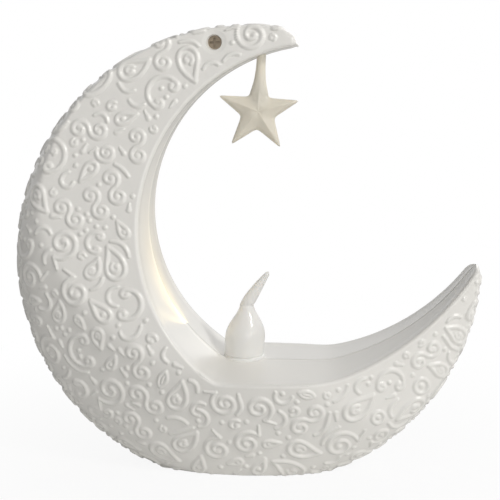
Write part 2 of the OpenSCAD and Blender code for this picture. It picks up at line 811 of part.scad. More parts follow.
module switch_terminals() {
    color([0.8, 0.79, 0.74])
    for (i = [-1, 0, 1])
        translate([switch_x + i * switch_l / 4 - contact_t / 2, -knob_w / 2, wall + switch_h])
            cube([contact_t, knob_w, 4 * contact_t]);
}

// Knob at the end of its travel that is nearer the battery
module switch_knob() {
    x0 = switch_x - knob_travel / 2 - knob_l / 2;
    color([0.12, 0.12, 0.13]) {
        bar(x0, x0 + knob_l, knob_w / 2, door_lift, foot_top - seat_gap);
        bar(x0 - foot_out, x0 + knob_l + foot_out, knob_w / 2 + foot_out, foot_z + seat_gap,
            foot_top - seat_gap);
    }
}

// Points along a route, smoothed through all of its own points
function smooth_at(p, i, t) =
    let (a = p[max(i - 1, 0)], b = p[i], c = p[i + 1], d = p[min(i + 2, len(p) - 1)])
    0.5 * (2 * b + (c - a) * t + (2 * a - 5 * b + 4 * c - d) * t * t + (3 * b - a - 3 * c + d) * t * t * t);
function smooth(p) = concat(
    [for (i = [0 : len(p) - 2], k = [0 : lead_steps - 1]) smooth_at(p, i, k / lead_steps)],
    [p[len(p) - 1]]);
function unit(v) = v / norm(v);

// Round lead swept along a smoothed route
module lead(route) {
    path = smooth(route);
    rings = len(path);
    last = rings * lead_sides;
    heading = [for (i = [0 : rings - 1]) unit(path[min(i + 1, rings - 1)] - path[max(i - 1, 0)])];
    side = [for (h = heading) unit(cross(h, [0.3, 1, 0.2]))];
    skin = [for (i = [0 : rings - 1], k = [0 : lead_sides - 1])
        let (a = 360 * k / lead_sides, v = cross(heading[i], side[i]))
        path[i] + lead_r * (cos(a) * side[i] + sin(a) * v)];
    walls = [for (i = [0 : rings - 2], k = [0 : lead_sides - 1])
        let (n = (k + 1) % lead_sides, a = i * lead_sides + k, b = i * lead_sides + n)
        each [[a, b + lead_sides, b], [a, a + lead_sides, b + lead_sides]]];
    ends = [for (k = [0 : lead_sides - 1]) let (n = (k + 1) % lead_sides)
        each [[last, k, n], [last + 1, last - lead_sides + n, last - lead_sides + k]]];
    polyhedron(points = concat(skin, [path[0], path[rings - 1]]), faces = concat(walls, ends));
}

module positive_lead() { color([0.75, 0.1, 0.08]) lead(positive_route); }
module switched_lead() { color([0.85, 0.35, 0.1]) lead(switched_route); }
module negative_lead() { color([0.08, 0.08, 0.09]) lead(negative_route); }

front_shell();
back_shell();
upper_screw();
lower_screws();
star_pendant();
flame_cover();
lamp();
lamp_pins();
lamp_spacer();
circuit_board();
flicker_chip();
resistor();
board_screws();
battery_tray();
cell_left();
cell_middle();
cell_right();
positive_contact();
negative_contact();
battery_door();
switch_body();
switch_terminals();
switch_knob();
positive_lead();
switched_lead();
negative_lead();
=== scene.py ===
"""Looks of the crescent table ornament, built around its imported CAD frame. Metres, +Z up."""

import json
import logging
import math
import random
from dataclasses import dataclass, field
from enum import Enum
from itertools import product
from typing import Callable, Iterable, Mapping, Optional, Sequence

import bmesh
import bpy
import numpy as np
from mathutils import Matrix, Vector
from mathutils.kdtree import KDTree


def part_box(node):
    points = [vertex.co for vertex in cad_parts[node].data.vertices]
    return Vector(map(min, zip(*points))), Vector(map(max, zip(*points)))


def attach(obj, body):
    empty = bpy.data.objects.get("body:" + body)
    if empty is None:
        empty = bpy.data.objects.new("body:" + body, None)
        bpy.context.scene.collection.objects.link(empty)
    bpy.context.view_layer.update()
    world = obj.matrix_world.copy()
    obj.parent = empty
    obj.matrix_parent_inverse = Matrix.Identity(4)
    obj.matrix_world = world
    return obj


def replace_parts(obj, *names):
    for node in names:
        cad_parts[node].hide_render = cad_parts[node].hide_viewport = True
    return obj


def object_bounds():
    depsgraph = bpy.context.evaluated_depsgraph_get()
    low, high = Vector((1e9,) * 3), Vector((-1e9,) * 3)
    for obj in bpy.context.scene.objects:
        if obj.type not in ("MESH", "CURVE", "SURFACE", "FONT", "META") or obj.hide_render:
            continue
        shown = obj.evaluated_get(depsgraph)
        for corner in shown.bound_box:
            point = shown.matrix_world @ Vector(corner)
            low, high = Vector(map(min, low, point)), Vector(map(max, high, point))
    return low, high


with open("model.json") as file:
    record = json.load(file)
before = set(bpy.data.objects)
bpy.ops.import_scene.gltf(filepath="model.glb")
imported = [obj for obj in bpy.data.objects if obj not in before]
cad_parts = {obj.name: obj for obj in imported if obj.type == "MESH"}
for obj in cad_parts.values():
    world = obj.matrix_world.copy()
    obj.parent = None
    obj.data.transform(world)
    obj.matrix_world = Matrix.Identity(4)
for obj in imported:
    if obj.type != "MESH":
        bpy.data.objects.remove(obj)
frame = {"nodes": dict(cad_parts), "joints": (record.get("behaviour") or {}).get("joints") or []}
CAD_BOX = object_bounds()

LOG = logging.getLogger("crescent_ornament")
Array = np.ndarray
Colour = tuple[float, float, float]
Place = tuple[float, float, float]
Key = str | int
Span = tuple[float, float]
MM = 0.001
FULL_WHITE = (1.0, 1.0, 1.0, 1.0)
MERGE = 0.002 * MM
SAME = 0.0001 * MM


# Colour and node helpers
def linear(red: float, green: float, blue: float) -> tuple[float, float, float, float]:
    """Turns a display colour into the linear one that shaders take.

    Args:
        red, green, blue: Display values from 0 to 255.

    Returns:
        The linear colour with an alpha of 1.
    """
    def channel(value: float) -> float:
        """One channel's linear value."""
        share = value / 255.0
        return share / 12.92 if share <= 0.04045 else ((share + 0.055) / 1.055) ** 2.4

    return channel(red), channel(green), channel(blue), 1.0


class Sheet:
    """A node tree with short calls for adding and feeding nodes."""

    def __init__(self, tree: bpy.types.NodeTree) -> None:
        """Takes the tree that the nodes go into."""
        self.tree = tree

    def feed(self, node: bpy.types.Node, sockets: Mapping[Key, object]) -> None:
        """Fills a node's inputs.

        Args:
            node: The node.
            sockets: For an input's name or number, its value or the output that feeds it.
        """
        for key, source in sockets.items():
            if isinstance(source, bpy.types.NodeSocket):
                self.tree.links.new(source, node.inputs[key])
            else:
                node.inputs[key].default_value = source

    def add(self, kind: str, sockets: Optional[Mapping[Key, object]] = None,
            **settings: object) -> bpy.types.Node:
        """Adds a node.

        Args:
            kind: The node's type.
            sockets: What fills its inputs.
            settings: Its properties.

        Returns:
            The new node.
        """
        node = self.tree.nodes.new(kind)
        for name, value in settings.items():
            setattr(node, name, value)
        self.feed(node, sockets or {})
        return node

    def math(self, operation: str, first: object, second: object) -> bpy.types.NodeSocket:
        """Works out a sum of two values."""
        return self.add("ShaderNodeMath", {0: first, 1: second}, operation=operation).outputs[0]

    def mixed(self, share: object, first: object, second: object) -> bpy.types.NodeSocket:
        """Mixes two colours by a share."""
        return self.add("ShaderNodeMix", {"Factor": share, 6: first, 7: second}, data_type="RGBA").outputs[2]

    def blended(self, share: object, first: object, second: object) -> bpy.types.NodeSocket:
        """Mixes two shaders by a share."""
        return self.add("ShaderNodeMixShader", {0: share, 1: first, 2: second}).outputs[0]

    def ranged(self, value: object, start: Span, end: Span, kind: str = "LINEAR") -> bpy.types.NodeSocket:
        """Maps a value from one span onto another.

        Args:
            value: The value.
            start, end: The span that it comes from, and the one that it goes to.
            kind: How it goes from one end to the other.

        Returns:
            The mapped value.
        """
        sockets = dict(zip(("From Min", "From Max", "To Min", "To Max"), (*start, *end)), Value=value)
        return self.add("ShaderNodeMapRange", sockets, interpolation_type=kind).outputs["Result"]


def shared_group(name: str, takes: Mapping[str, str], gives: Mapping[str, str],
                 wire: Callable[[Sheet, bpy.types.NodeOutputs], Mapping[Key, object]]) -> bpy.types.NodeTree:
    """Builds a node group, or gives the one built before.

    Args:
        name: Name of the group.
        takes, gives: The kind of each input and output.
        wire: Adds the nodes for the group's inputs, and says what feeds each output.

    Returns:
        The group.
    """
    if name in bpy.data.node_groups:
        return bpy.data.node_groups[name]
    group = bpy.data.node_groups.new(name, "ShaderNodeTree")
    for way, sockets in (("INPUT", takes), ("OUTPUT", gives)):
        for title, kind in sockets.items():
            group.interface.new_socket(title, in_out=way, socket_type=f"NodeSocket{kind}")
    sheet = Sheet(group)
    sheet.add("NodeGroupOutput", wire(sheet, sheet.add("NodeGroupInput").outputs))
    return group


def moulded_grain() -> bpy.types.NodeTree:
    """Builds the shared group for the fine ripple of moulded plastic.

    Returns:
        A group with Scale, Ripple and Speckle in, and Height and Mask out.
    """
    def wire(sheet: Sheet, given: bpy.types.NodeOutputs) -> dict[Key, object]:
        """Adds up broad ripples and fine speckles, each at its own strength."""
        place = sheet.add("ShaderNodeTexCoord").outputs["Object"]
        fine = {"Vector": place, "Scale": given["Scale"], "Detail": 3.0, "Roughness": 0.55}
        broad = {"Vector": place, "Scale": 70.0, "Detail": 2.0}
        speckles, mask = (sheet.add("ShaderNodeTexNoise", noise).outputs["Fac"] for noise in (fine, broad))
        ripple = sheet.math("MULTIPLY", mask, given["Ripple"])
        speckle = sheet.math("MULTIPLY", speckles, given["Speckle"])
        return {"Height": sheet.math("ADD", ripple, speckle), "Mask": mask}

    takes = dict.fromkeys(("Scale", "Ripple", "Speckle"), "Float")
    return shared_group("moulded_grain", takes, {"Height": "Float", "Mask": "Float"}, wire)


def painted_relief_shade() -> bpy.types.NodeTree:
    """Builds the shared group that paints shade into the low places between raised strokes, with the crests
    lighter.

    Returns:
        A group with Crest, Valley, Drift, Relief and Mask in, and Color out.
    """
    def wire(sheet: Sheet, given: bpy.types.NodeOutputs) -> dict[Key, object]:
        """Goes from the darker valley colour, which is painted shade, to the crest as the relief rises, and
        to the drift where the mask is high.
        """
        rise = sheet.ranged(given["Relief"], (0.0, 1.0), (0.0, 1.0), "SMOOTHSTEP")
        level = sheet.mixed(rise, given["Valley"], given["Crest"])
        patch = sheet.ranged(given["Mask"], (0.35, 0.75), (0.0, 0.5))
        return {"Color": sheet.mixed(patch, level, given["Drift"])}

    takes = dict.fromkeys(("Crest", "Valley", "Drift"), "Color") | dict.fromkeys(("Relief", "Mask"), "Float")
    return shared_group("painted_relief_shade", takes, {"Color": "Color"}, wire)


class Lustre(Enum):
    """How a finish takes the light."""

    PLASTIC = "plastic"
    CLEAR = "clear"
    METAL = "metal"


@dataclass(frozen=True)
class Finish:
    """One surface finish, with its colours, gloss and moulded grain.

    Attributes:
        name, slot: Name of the material, and its material slot in the record; the slot is not used.
        crest, valley, drift: Display colours of raised places, low places and faint patches; a darker valley
            is painted shade between raised strokes.
        lustre: Whether it is plastic, clear plastic or metal.
        roughness, spread: Roughness at the smooth places, and how much the patches add.
        coat: Weight of the glossy top coat.
        grain, ripple, speckle: Scale of the fine grain, and the strengths of its two kinds.
        bump: Distance of the bump.
        glow: Share of light that passes under the surface.
        clearness: Share of light that passes through, for clear plastic.
        mask_span: Values of the mask between which the patches grow rougher.
        coat_roughness, bend: Roughness of the top coat, and index of refraction.
        glow_reach, glow_depth: How far each colour passes under the surface, and its scale.
    """

    name: str
    slot: str
    crest: Colour
    valley: Colour
    drift: Colour
    lustre: Lustre = Lustre.PLASTIC
    roughness: float = 0.35
    spread: float = 0.08
    coat: float = 0.0
    grain: float = 1400.0
    ripple: float = 0.5
    speckle: float = 0.25
    bump: float = 0.06 * MM
    glow: float = 0.0
    clearness: float = 0.0
    mask_span: Span = (0.3, 0.7)
    coat_roughness: float = 0.06
    bend: float = 1.5
    glow_reach: Colour = (1.0, 0.85, 0.7)
    glow_depth: float = 1.2 * MM

    def build(self) -> bpy.types.Material:
        """Makes the material, or gives the one made before.

        Returns:
            The material with its nodes.
        """
        if self.name in bpy.data.materials:
            return bpy.data.materials[self.name]
        material = bpy.data.materials.new(self.name)
        material.use_nodes = True
        sheet = Sheet(material.node_tree)
        scales = {"Scale": self.grain, "Ripple": self.ripple, "Speckle": self.speckle}
        grain = sheet.add("ShaderNodeGroup", scales, node_tree=moulded_grain()).outputs
        # The relief attribute mixes crest and valley: painted shade in the low places between strokes.
        relief = sheet.add("ShaderNodeAttribute", attribute_name="relief").outputs["Fac"]
        tints = {"Crest": linear(*self.crest), "Valley": linear(*self.valley), "Drift": linear(*self.drift),
                 "Relief": relief, "Mask": grain["Mask"]}
        tint = sheet.add("ShaderNodeGroup", tints, node_tree=painted_relief_shade())
        dents = {"Strength": 1.0, "Distance": self.bump, "Height": grain["Height"]}
        bump = sheet.add("ShaderNodeBump", dents)
        span = (self.roughness, self.roughness + self.spread)
        looks = {"Base Color": tint.outputs["Color"], "Normal": bump.outputs["Normal"],
                 "Roughness": sheet.ranged(grain["Mask"], self.mask_span, span),
                 "Metallic": float(self.lustre is Lustre.METAL), "IOR": self.bend,
                 "Coat Weight": self.coat, "Coat Roughness": self.coat_roughness}
        if self.glow:
            looks |= {"Subsurface Weight": self.glow, "Subsurface Radius": self.glow_reach,
                      "Subsurface Scale": self.glow_depth}
        if self.lustre is Lustre.CLEAR:
            looks["Transmission Weight"] = self.clearness
        sheet.feed(material.node_tree.nodes["Principled BSDF"], looks)
        return material


# Pearl's valley is darker than its crest: painted shade between the raised strokes.
PEARL = Finish("pearl_shell", "pearl_shell", (243, 240, 230), (229, 222, 207), (235, 230, 217),
               roughness=0.24, coat=0.95, glow=0.08, ripple=0.7, speckle=0.12, bump=0.04 * MM)
STAR_CREAM = Finish("star_cream", "star_plastic", (240, 234, 222), (232, 226, 211), (236, 230, 217),
                    roughness=0.38, coat=0.1, glow=0.15, speckle=0.15)
MILKY = Finish("milky_cover", "milky_plastic", (250, 249, 246), (244, 243, 240), (247, 246, 243),
               Lustre.CLEAR, roughness=0.36, coat=0.5, speckle=0.12, glow=0.1, clearness=0.04)
# Plated steel made darker: painted shade for the screw deep in its well.
PAINTED_SHADE_ZINC = Finish("zinc_painted_shade", "plated_steel", (158, 146, 130), (140, 128, 112), (164, 152, 136),
                   Lustre.METAL, roughness=0.5, speckle=0.5, bump=0.03 * MM)
LENS = Finish("lamp_resin", "lamp_resin", (240, 232, 196), (228, 218, 176), (235, 226, 190), Lustre.CLEAR,
              roughness=0.2, coat=0.2, clearness=0.5)
WHITE = Finish("moulded_white", "white_plastic", (222, 219, 211), (210, 206, 197), (217, 213, 205),
               roughness=0.5, speckle=0.6, bump=0.04 * MM)
BLACK = Finish("moulded_black", "black_plastic", (44, 44, 46), (36, 36, 38), (50, 50, 52),
               roughness=0.48, speckle=0.6, bump=0.04 * MM)
LAMINATE = Finish("board_lacquer", "board_laminate", (52, 116, 78), (44, 102, 68), (60, 124, 84),
                  roughness=0.3, coat=0.3)
LACQUER = Finish("resistor_lacquer", "resistor_coating", (196, 168, 120), (182, 152, 106), (204, 176, 130),
                 roughness=0.32)
ZINC = Finish("zinc_plate", "plated_steel", (176, 173, 166), (160, 157, 150), (184, 180, 170), Lustre.METAL,
              roughness=0.32, spread=0.16, grain=2600.0)
TIN = Finish("tin_plate", "tinned_metal", (214, 212, 204), (196, 194, 186), (206, 203, 192), Lustre.METAL,
             roughness=0.26, spread=0.14, grain=2200.0)
NICKEL = Finish("nickel_cell", "cell_steel", (206, 206, 204), (190, 190, 188), (198, 197, 193), Lustre.METAL,
                roughness=0.22, spread=0.12, grain=1800.0)
RED = Finish("red_sleeve", "red_sleeve", (186, 44, 36), (170, 36, 30), (194, 54, 44), roughness=0.42)
ORANGE = Finish("orange_sleeve", "orange_sleeve", (222, 124, 52), (206, 110, 44), (228, 134, 62),
                roughness=0.42)
DARK = Finish("black_sleeve", "black_sleeve", (40, 40, 42), (33, 33, 35), (47, 47, 49), roughness=0.42)


# Mesh helpers
def finish_mesh(bm: bmesh.types.BMesh, name: str, finish: Finish, body: str,
                crease: float = 35.0) -> bpy.types.Object:
    """Closes a bmesh into an object that rides on a body.

    Args:
        bm: The shape; it is freed.
        name: Name of the piece.
        finish: Its surface finish.
        body: CAD body that it moves with.
        crease: Angle in degrees past which an edge stays sharp.

    Returns:
        The new object.
    """
    limit = math.radians(crease)
    for edge in bm.edges:
        edge.smooth = not (len(edge.link_faces) == 2 and edge.calc_face_angle(0.0) > limit)
    for face in bm.faces:
        face.smooth = True
    mesh = bpy.data.meshes.new(name)
    bm.to_mesh(mesh)
    bm.free()
    mesh.materials.append(finish.build())
    piece = bpy.data.objects.new(name, mesh)
    bpy.context.scene.collection.objects.link(piece)
    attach(piece, body)
    LOG.info("%s: %d faces", name, len(mesh.polygons))
    return piece


def merged_copy(node: str) -> bmesh.types.BMesh:
    """Copies a CAD node's mesh and joins its loose triangles.

    Args:
        node: Name of the CAD node.

    Returns:
        The merged bmesh.
    """
    bm = bmesh.new()
    bm.from_mesh(frame["nodes"][node].data)
    bmesh.ops.remove_doubles(bm, verts=bm.verts[:], dist=MERGE)
    return bm


def joint_line(name: str) -> tuple[Vector, Vector]:
    """Gives a point on a joint's axis and the axis's direction."""
    joint = next(j for j in frame["joints"] if j["name"] == name)
    return Vector(joint["pos_m"]), Vector(joint["axis"])


def middle_of(node: str) -> Vector:
    """Gives the middle of a node's box."""
    low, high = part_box(node)
    return (low + high) / 2


def middles_of(node: str) -> list[Vector]:
    """Finds the middle of each solid of a node whose solids lie left and right of the origin.

    Args:
        node: Name of the CAD node.

    Returns:
        The middle of its left and right solid, or only one of them.
    """
    points = [vertex.co for vertex in frame["nodes"][node].data.vertices]
    found = []
    for side in (-1, 1):
        part = [point for point in points if point.x * side > 0]
        if part:
            low = Vector(min(p[i] for p in part) for i in range(3))
            high = Vector(max(p[i] for p in part) for i in range(3))
            found.append((low + high) / 2)
    return found


def smooth_least(values: Iterable[Array], power: float, least: float = 1e-6) -> Array:
    """Takes the least of several positive values, with a rounded crossing.

    Args:
        values: The values.
        power: How tight the crossing is.
        least: What a value is raised to, so that its power stays finite.

    Returns:
        The rounded least value.
    """
    return sum(np.maximum(value, least) ** -power for value in values) ** (-1.0 / power)


@dataclass(frozen=True)
class CrescentForm:
    """The crescent's surface. Angles run from +X towards +Z round the middle of its outer circle.

    Attributes:
        outer_r, ring_z: Radius of the outer circle and height of its middle.
        belly_half, rim_round: Greatest half depth of the body, and radius of its outer rounding.
        centre_half, taper_slope: Half depth at the ring's middle, and how fast it shrinks upwards.
        tip_half, tip_slope: Half depth at the lower tip, and how fast it grows from there.
        gap, ramp: Middle and radius of the two circles that bound the open space.
        floor_drop, floor_sine: How far the floor lies under the middle, and the sine where it starts.
        draft_slope: How much the open space widens towards the faces.
        nose_angle, nose_reach: Direction in degrees and distance of the nose.
        nose_facets: Direction in degrees and distance of its two flat ends; facet_share is where they stop.
        nose_half, nose_round, nose_slope: Half depth at the nose, its rounding, and its growth behind.
        first_angle, last_angle: Directions of the upper and the lower tip's end in degrees.
        end_round, edge_round: Rounding of the tips, and of the edge between channel and outside.
        edge_shares: Most that the edge's rounding takes of the body's height and depth.
        edge_rounds, edge_steps: How often the edge's place is refined, and points that measure the face.
        seam_half, seam_rows: Half width of the parting line, and points on it.
        depth_blend, wall_blend, end_blend: How tightly depths, inner walls and ends cross.
    """

    outer_r: float
    ring_z: float
    belly_half: float = 24.5 * MM
    rim_round: float = 15.5 * MM
    centre_half: float = 16.4 * MM
    taper_slope: float = 0.2
    tip_half: float = 5.4 * MM
    tip_slope: float = 0.32
    gap: tuple[float, float, float] = (20.4 * MM, 11.8 * MM, 48.4 * MM)
    ramp: tuple[float, float, float] = (7.7 * MM, 36.3 * MM, 66.7 * MM)
    floor_drop: float = 28.5 * MM
    floor_sine: float = -0.05
    draft_slope: float = 0.05
    nose_angle: float = 50.0
    nose_reach: float = 54.9 * MM
    nose_facets: tuple[Span, ...] = ((57.8, 59.8 * MM), (17.4, 31.2 * MM))
    facet_share: float = 0.3
    nose_half: float = 4.6 * MM
    nose_round: float = 2.4 * MM
    nose_slope: float = 3.0
    first_angle: float = 76.9
    last_angle: float = 359.7
    end_round: float = 2.2 * MM
    edge_round: float = 0.6 * MM
    edge_shares: Span = (0.3, 0.4)
    edge_rounds: int = 5
    edge_steps: int = 90
    seam_half: float = 0.45 * MM
    seam_rows: int = 4
    depth_blend: float = 60.0
    wall_blend: float = 80.0
    end_blend: float = 120.0

    @classmethod
    def from_frame(cls) -> "CrescentForm":
        """Takes the outer circle from the CAD shell's own box.

        Returns:
            The form.
        """
        low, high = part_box("front_shell")
        radius = (high.x - low.x) / 2
        return cls(outer_r=radius, ring_z=high.z - radius)

    def half(self, rho: Array, angle: float) -> Array:
        """Works out the half depth of the body.

        Args:
            rho: Distances from the ring's middle.
            angle: Direction in radians.

        Returns:
            How far the face lies from the parting plane.
        """
        centre = self.outer_r - self.rim_round
        drop = self.belly_half - self.rim_round
        lens_r = (centre ** 2 + self.belly_half ** 2 - self.rim_round ** 2) / (2 * drop)
        join = centre * lens_r / (lens_r - self.rim_round)
        wide = np.sqrt(np.maximum(lens_r ** 2 - rho ** 2, 0.0)) - (lens_r - self.belly_half)
        rim = np.sqrt(np.maximum(self.rim_round ** 2 - np.maximum(rho - centre, 0.0) ** 2, 0.0))
        lens = np.where(rho < join, wide, rim)
        upward = self.centre_half - self.taper_slope * rho * math.sin(angle)
        sideways = self.tip_half + self.tip_slope * (self.outer_r - rho * math.cos(angle))
        inside = self.nose_end(angle) - rho
        share = np.clip(inside / self.nose_round, 0.0, 1.0)
        behind = self.nose_slope * np.maximum(inside - self.nose_round, 0.0)
        nose = self.nose_half * np.sqrt(1.0 - (1.0 - share) ** 2) + behind
        return smooth_least((lens, upward, sideways, nose), self.depth_blend)

    @staticmethod
    def exit_of(circle: tuple[float, float, float], angle: float, widen: Array) -> Array:
        """Finds where a ray from the ring's middle leaves a circle.

        Args:
            circle: Middle and radius.
            angle: Direction in radians.
            widen: Extra radius.

        Returns:
            The distances.
        """
        x, z, radius = circle
        along = x * math.cos(angle) + z * math.sin(angle)
        return along + np.sqrt(along ** 2 - x ** 2 - z ** 2 + (radius + widen) ** 2)

    def inner(self, angle: float, depth: Array) -> Array:
        """Works out how far the open space reaches.

        Args:
            angle: Direction in radians.
            depth: Distances from the parting plane.

        Returns:
            Distances from the ring's middle to the inner wall or the floor.
        """
        draft = self.draft_slope * depth
        bounds = [self.exit_of(self.gap, angle, draft), self.exit_of(self.ramp, angle, draft)]
        if math.sin(angle) < self.floor_sine:
            bounds.append((self.floor_drop + draft) / -math.sin(angle))
        return smooth_least(bounds, self.wall_blend)

    def outer(self, angle: float) -> float:
        """Works out how far the body reaches.

        Args:
            angle: Direction in radians.

        Returns:
            Distance from the ring's middle to the outer edge.
        """
        return float(smooth_least((np.array(self.outer_r), np.array(self.nose_end(angle))), self.end_blend))

    def nose_end(self, angle: float) -> float:
        """Works out where the nose's two flat ends cut the upper arm.

        Args:
            angle: Direction in radians.

        Returns:
            Distance from the ring's middle, far outside where they don't cut.
        """
        reaches = [4.0 * self.outer_r]
        for turn, reach in self.nose_facets:
            share = math.cos(angle - math.radians(turn))
            if share > self.facet_share and angle < math.pi:
                reaches.append(reach / share)
        return min(reaches)

    def tip_share(self, angle: float) -> float:
        """Works out how far both tips are drawn in at an angle.

        Args:
            angle: Direction in radians.

        Returns:
            0 at the end of a tip, 1 past its rounding.
        """
        ends = (math.radians(self.first_angle), math.radians(self.last_angle))
        reach = min(abs(angle - end) for end in ends) * self.outer_r
        share = min(reach / self.end_round, 1.0)
        return math.sqrt(1.0 - (1.0 - share) ** 2)

    def angles(self, count: int, ends: int = 12) -> Array:
        """Spreads columns along the arm, closer together at the tips.

        Args:
            count: How many columns.
            ends: How many of them lie in each tip's rounding.

        Returns:
            Directions in radians.
        """
        first, last = math.radians(self.first_angle), math.radians(self.last_angle)
        turn = self.end_round / self.outer_r
        close = turn * (1.0 - np.cos(np.linspace(0.0, math.pi / 2, ends, endpoint=False)))
        middle = np.linspace(first + turn, last - turn, count - 2 * ends)
        return np.concatenate((first + close, middle, (last - close)[::-1]))

    def profile(self, angle: float, steps: tuple[int, int, int]) -> tuple[Array, Array, Array]:
        """Draws one section: from the parting plane inside, over the edge, to the parting plane outside.

        Args:
            angle: Direction in radians.
            steps: How many points the inner wall, the edge and the outer face get.

        Returns:
            Distances from the ring's middle, depths, and lengths past the edge.
        """
        outer, share = self.outer(angle), self.tip_share(angle)
        depth = np.array(0.0)
        for _ in range(self.edge_rounds):
            rim = self.inner(angle, depth)
            depth = self.half(rim, angle)
        high_share, deep_share = self.edge_shares
        edge = float(min(self.edge_round, high_share * (outer - rim), deep_share * depth))
        turn_rho = float(rim) + edge
        turn_depth = float(self.half(np.array(turn_rho), angle)) - edge
        seam = np.linspace(0.0, self.seam_half, self.seam_rows, endpoint=False)
        channel = np.linspace(self.seam_half, turn_depth, steps[0] - self.seam_rows, endpoint=False)
        inside = np.concatenate((seam, channel))
        bend = np.linspace(math.pi, math.pi / 2, steps[1], endpoint=False)
        sweep = np.sin(np.linspace(0.0, math.pi / 2, self.edge_steps))
        dense_rho = turn_rho + (outer - turn_rho) * sweep
        dense_depth = self.half(dense_rho, angle)
        dense_depth[-1] = 0.0
        length = np.concatenate(([0.0], np.cumsum(np.hypot(np.diff(dense_rho), np.diff(dense_depth)))))
        even = np.linspace(0.0, length[-1], steps[2])
        rho = np.concatenate((self.inner(angle, inside), turn_rho + edge * np.cos(bend),
                              np.interp(even, length, dense_rho)))
        deep = np.concatenate((inside, turn_depth + edge * np.sin(bend),
                               np.interp(even, length, dense_depth)))
        past = np.concatenate((inside - turn_depth, np.zeros(steps[1]), even))
        middle = (outer + float(self.inner(angle, np.array(0.0)))) / 2
        return middle + (rho - middle) * share, deep * share, past


# Traditional scroll ornament, drawn as strokes in a circle of radius 1
Stroke = Array


def stroke(x: Array, y: Array, width: Array) -> Stroke:
    """Puts the points and widths of a stroke together."""
    return np.column_stack((x, y, np.broadcast_to(width, np.shape(x))))


def bead(x: float, width: float = 1.1) -> Stroke:
    """Draws a stroke of a single point."""
    return stroke(np.array([x]), np.array([0.0]), width)


def spiral(turns: float, start: float, end: float, centre: tuple[float, float], turn: float) -> Stroke:
    """Draws a spiral that winds inwards and ends in a bud.

    Args:
        turns: Number of turns; negative winds the other way.
        start: Radius at the outside.
        end: Radius at the bud.
        centre: Middle of the spiral.
        turn: Direction of its outer end in radians.

    Returns:
        The stroke.
    """
    share = np.linspace(0.0, 1.0, 60)
    radius = start + (end - start) * share ** 0.85
    way = turn + 2 * math.pi * turns * share
    width = 0.72 + 0.28 * np.sin(math.pi * np.minimum(share * 1.6, 1.0)) + 5.0 * np.maximum(share - 0.9, 0.0)
    return stroke(centre[0] + radius * np.cos(way), centre[1] + radius * np.sin(way), width)


def volute() -> list[Stroke]:
    """A single curl with a small leaf beside its tail."""
    tail = np.linspace(0.0, 1.0, 20)
    return [spiral(1.55, 0.82, 0.13, (0.0, 0.0), 0.4),
            stroke(0.76 + 0.2 * tail, 0.32 + 0.62 * tail, 0.72 - 0.35 * tail)]


def double_scroll() -> list[Stroke]:
    """Two curls that turn against each other at the ends of one stem."""
    return [spiral(1.25, 0.5, 0.1, (0.0, -0.5 * way), way * math.pi / 2) for way in (-1, 1)]


def facing_scrolls() -> list[Stroke]:
    """A bow whose two ends curl towards each other."""
    bow = np.linspace(-0.55, 0.55, 30) * math.pi
    ends = [spiral(0.85 * way, 0.3, 0.08, (-0.28, 0.52 * way), 0.9 * way) for way in (1, -1)]
    return [stroke(-0.15 + 0.8 * np.cos(bow), 0.8 * np.sin(bow), 1.0 - 0.15 * np.abs(bow)), *ends]


def drop_loop() -> list[Stroke]:
    """A pointed loop with a bud inside."""
    way = np.linspace(0.0, 2 * math.pi, 56)
    return [stroke(0.95 * np.cos(way), 0.62 * np.sin(way) * np.sin(way / 2) ** 1.4, 0.9),
            bead(-0.35)]


def leaf() -> list[Stroke]:
    """A pointed leaf with its rib."""
    share = np.linspace(0.0, 1.0, 30)
    bulge = 0.44 * np.sin(math.pi * share) ** 0.8
    rib = np.linspace(-0.5, 0.45, 14)
    return [stroke(2 * share - 1, bulge, 0.8), stroke(2 * share - 1, -bulge, 0.8),
            stroke(rib, 0.0 * rib, 0.75 - 0.35 * np.abs(rib))]


def almond() -> list[Stroke]:
    """A bent drop with a curl inside, as on woven shawls."""
    way = np.linspace(0.0, 2 * math.pi, 60)
    x = 0.9 * np.cos(way)
    y = 0.66 * np.sin(way) * np.sin(way / 2) ** 1.1 + 0.3 * np.maximum(x, 0.0) ** 2
    return [stroke(x, y, 0.85), spiral(0.8, 0.28, 0.1, (-0.3, 0.0), 0.5)]


def ring() -> list[Stroke]:
    """A ring round a bud."""
    way = np.linspace(0.0, 2 * math.pi, 40)
    return [stroke(0.8 * np.cos(way), 0.8 * np.sin(way), 0.85), bead(0.0)]


def petal() -> list[Stroke]:
    """A solid drop."""
    reach = np.linspace(-0.8, 0.8, 16)
    return [stroke(reach, 0.18 * np.sin(reach * 2.0), np.linspace(0.5, 1.3, 16))]


def curl() -> list[Stroke]:
    """A short open curl."""
    return [spiral(0.8, 0.8, 0.25, (0.0, 0.0), 0.0)]


def bud() -> list[Stroke]:
    """A single bead."""
    return [bead(0.0, 1.0)]


@dataclass(frozen=True)
class Course:
    """One pass of the ornament, with pieces of like size.

    Attributes:
        radius: Least and greatest radius of a piece.
        width: Half width of its strokes.
        height: Height of its strokes.
        tries: How many places are tried.
        motifs: The pieces that it draws from.
    """

    radius: tuple[float, float]
    width: float
    height: float
    tries: int
    motifs: tuple[Callable[[], list[Stroke]], ...]


COURSES = (
    Course((4.6 * MM, 6.0 * MM), 0.84 * MM, 0.5 * MM, 500, (double_scroll, volute, facing_scrolls, almond)),
    Course((3.0 * MM, 4.0 * MM), 0.8 * MM, 0.48 * MM, 900, (volute, drop_loop, almond, facing_scrolls)),
    Course((1.9 * MM, 2.6 * MM), 0.72 * MM, 0.46 * MM, 1100, (ring, drop_loop, curl, leaf)),
)
FILLERS = (
    Course((1.1 * MM, 1.5 * MM), 0.6 * MM, 0.4 * MM, 2600, (petal, curl, petal)),
    Course((0.6 * MM, 0.6 * MM), 0.74 * MM, 0.42 * MM, 3000, (bud,)),
)


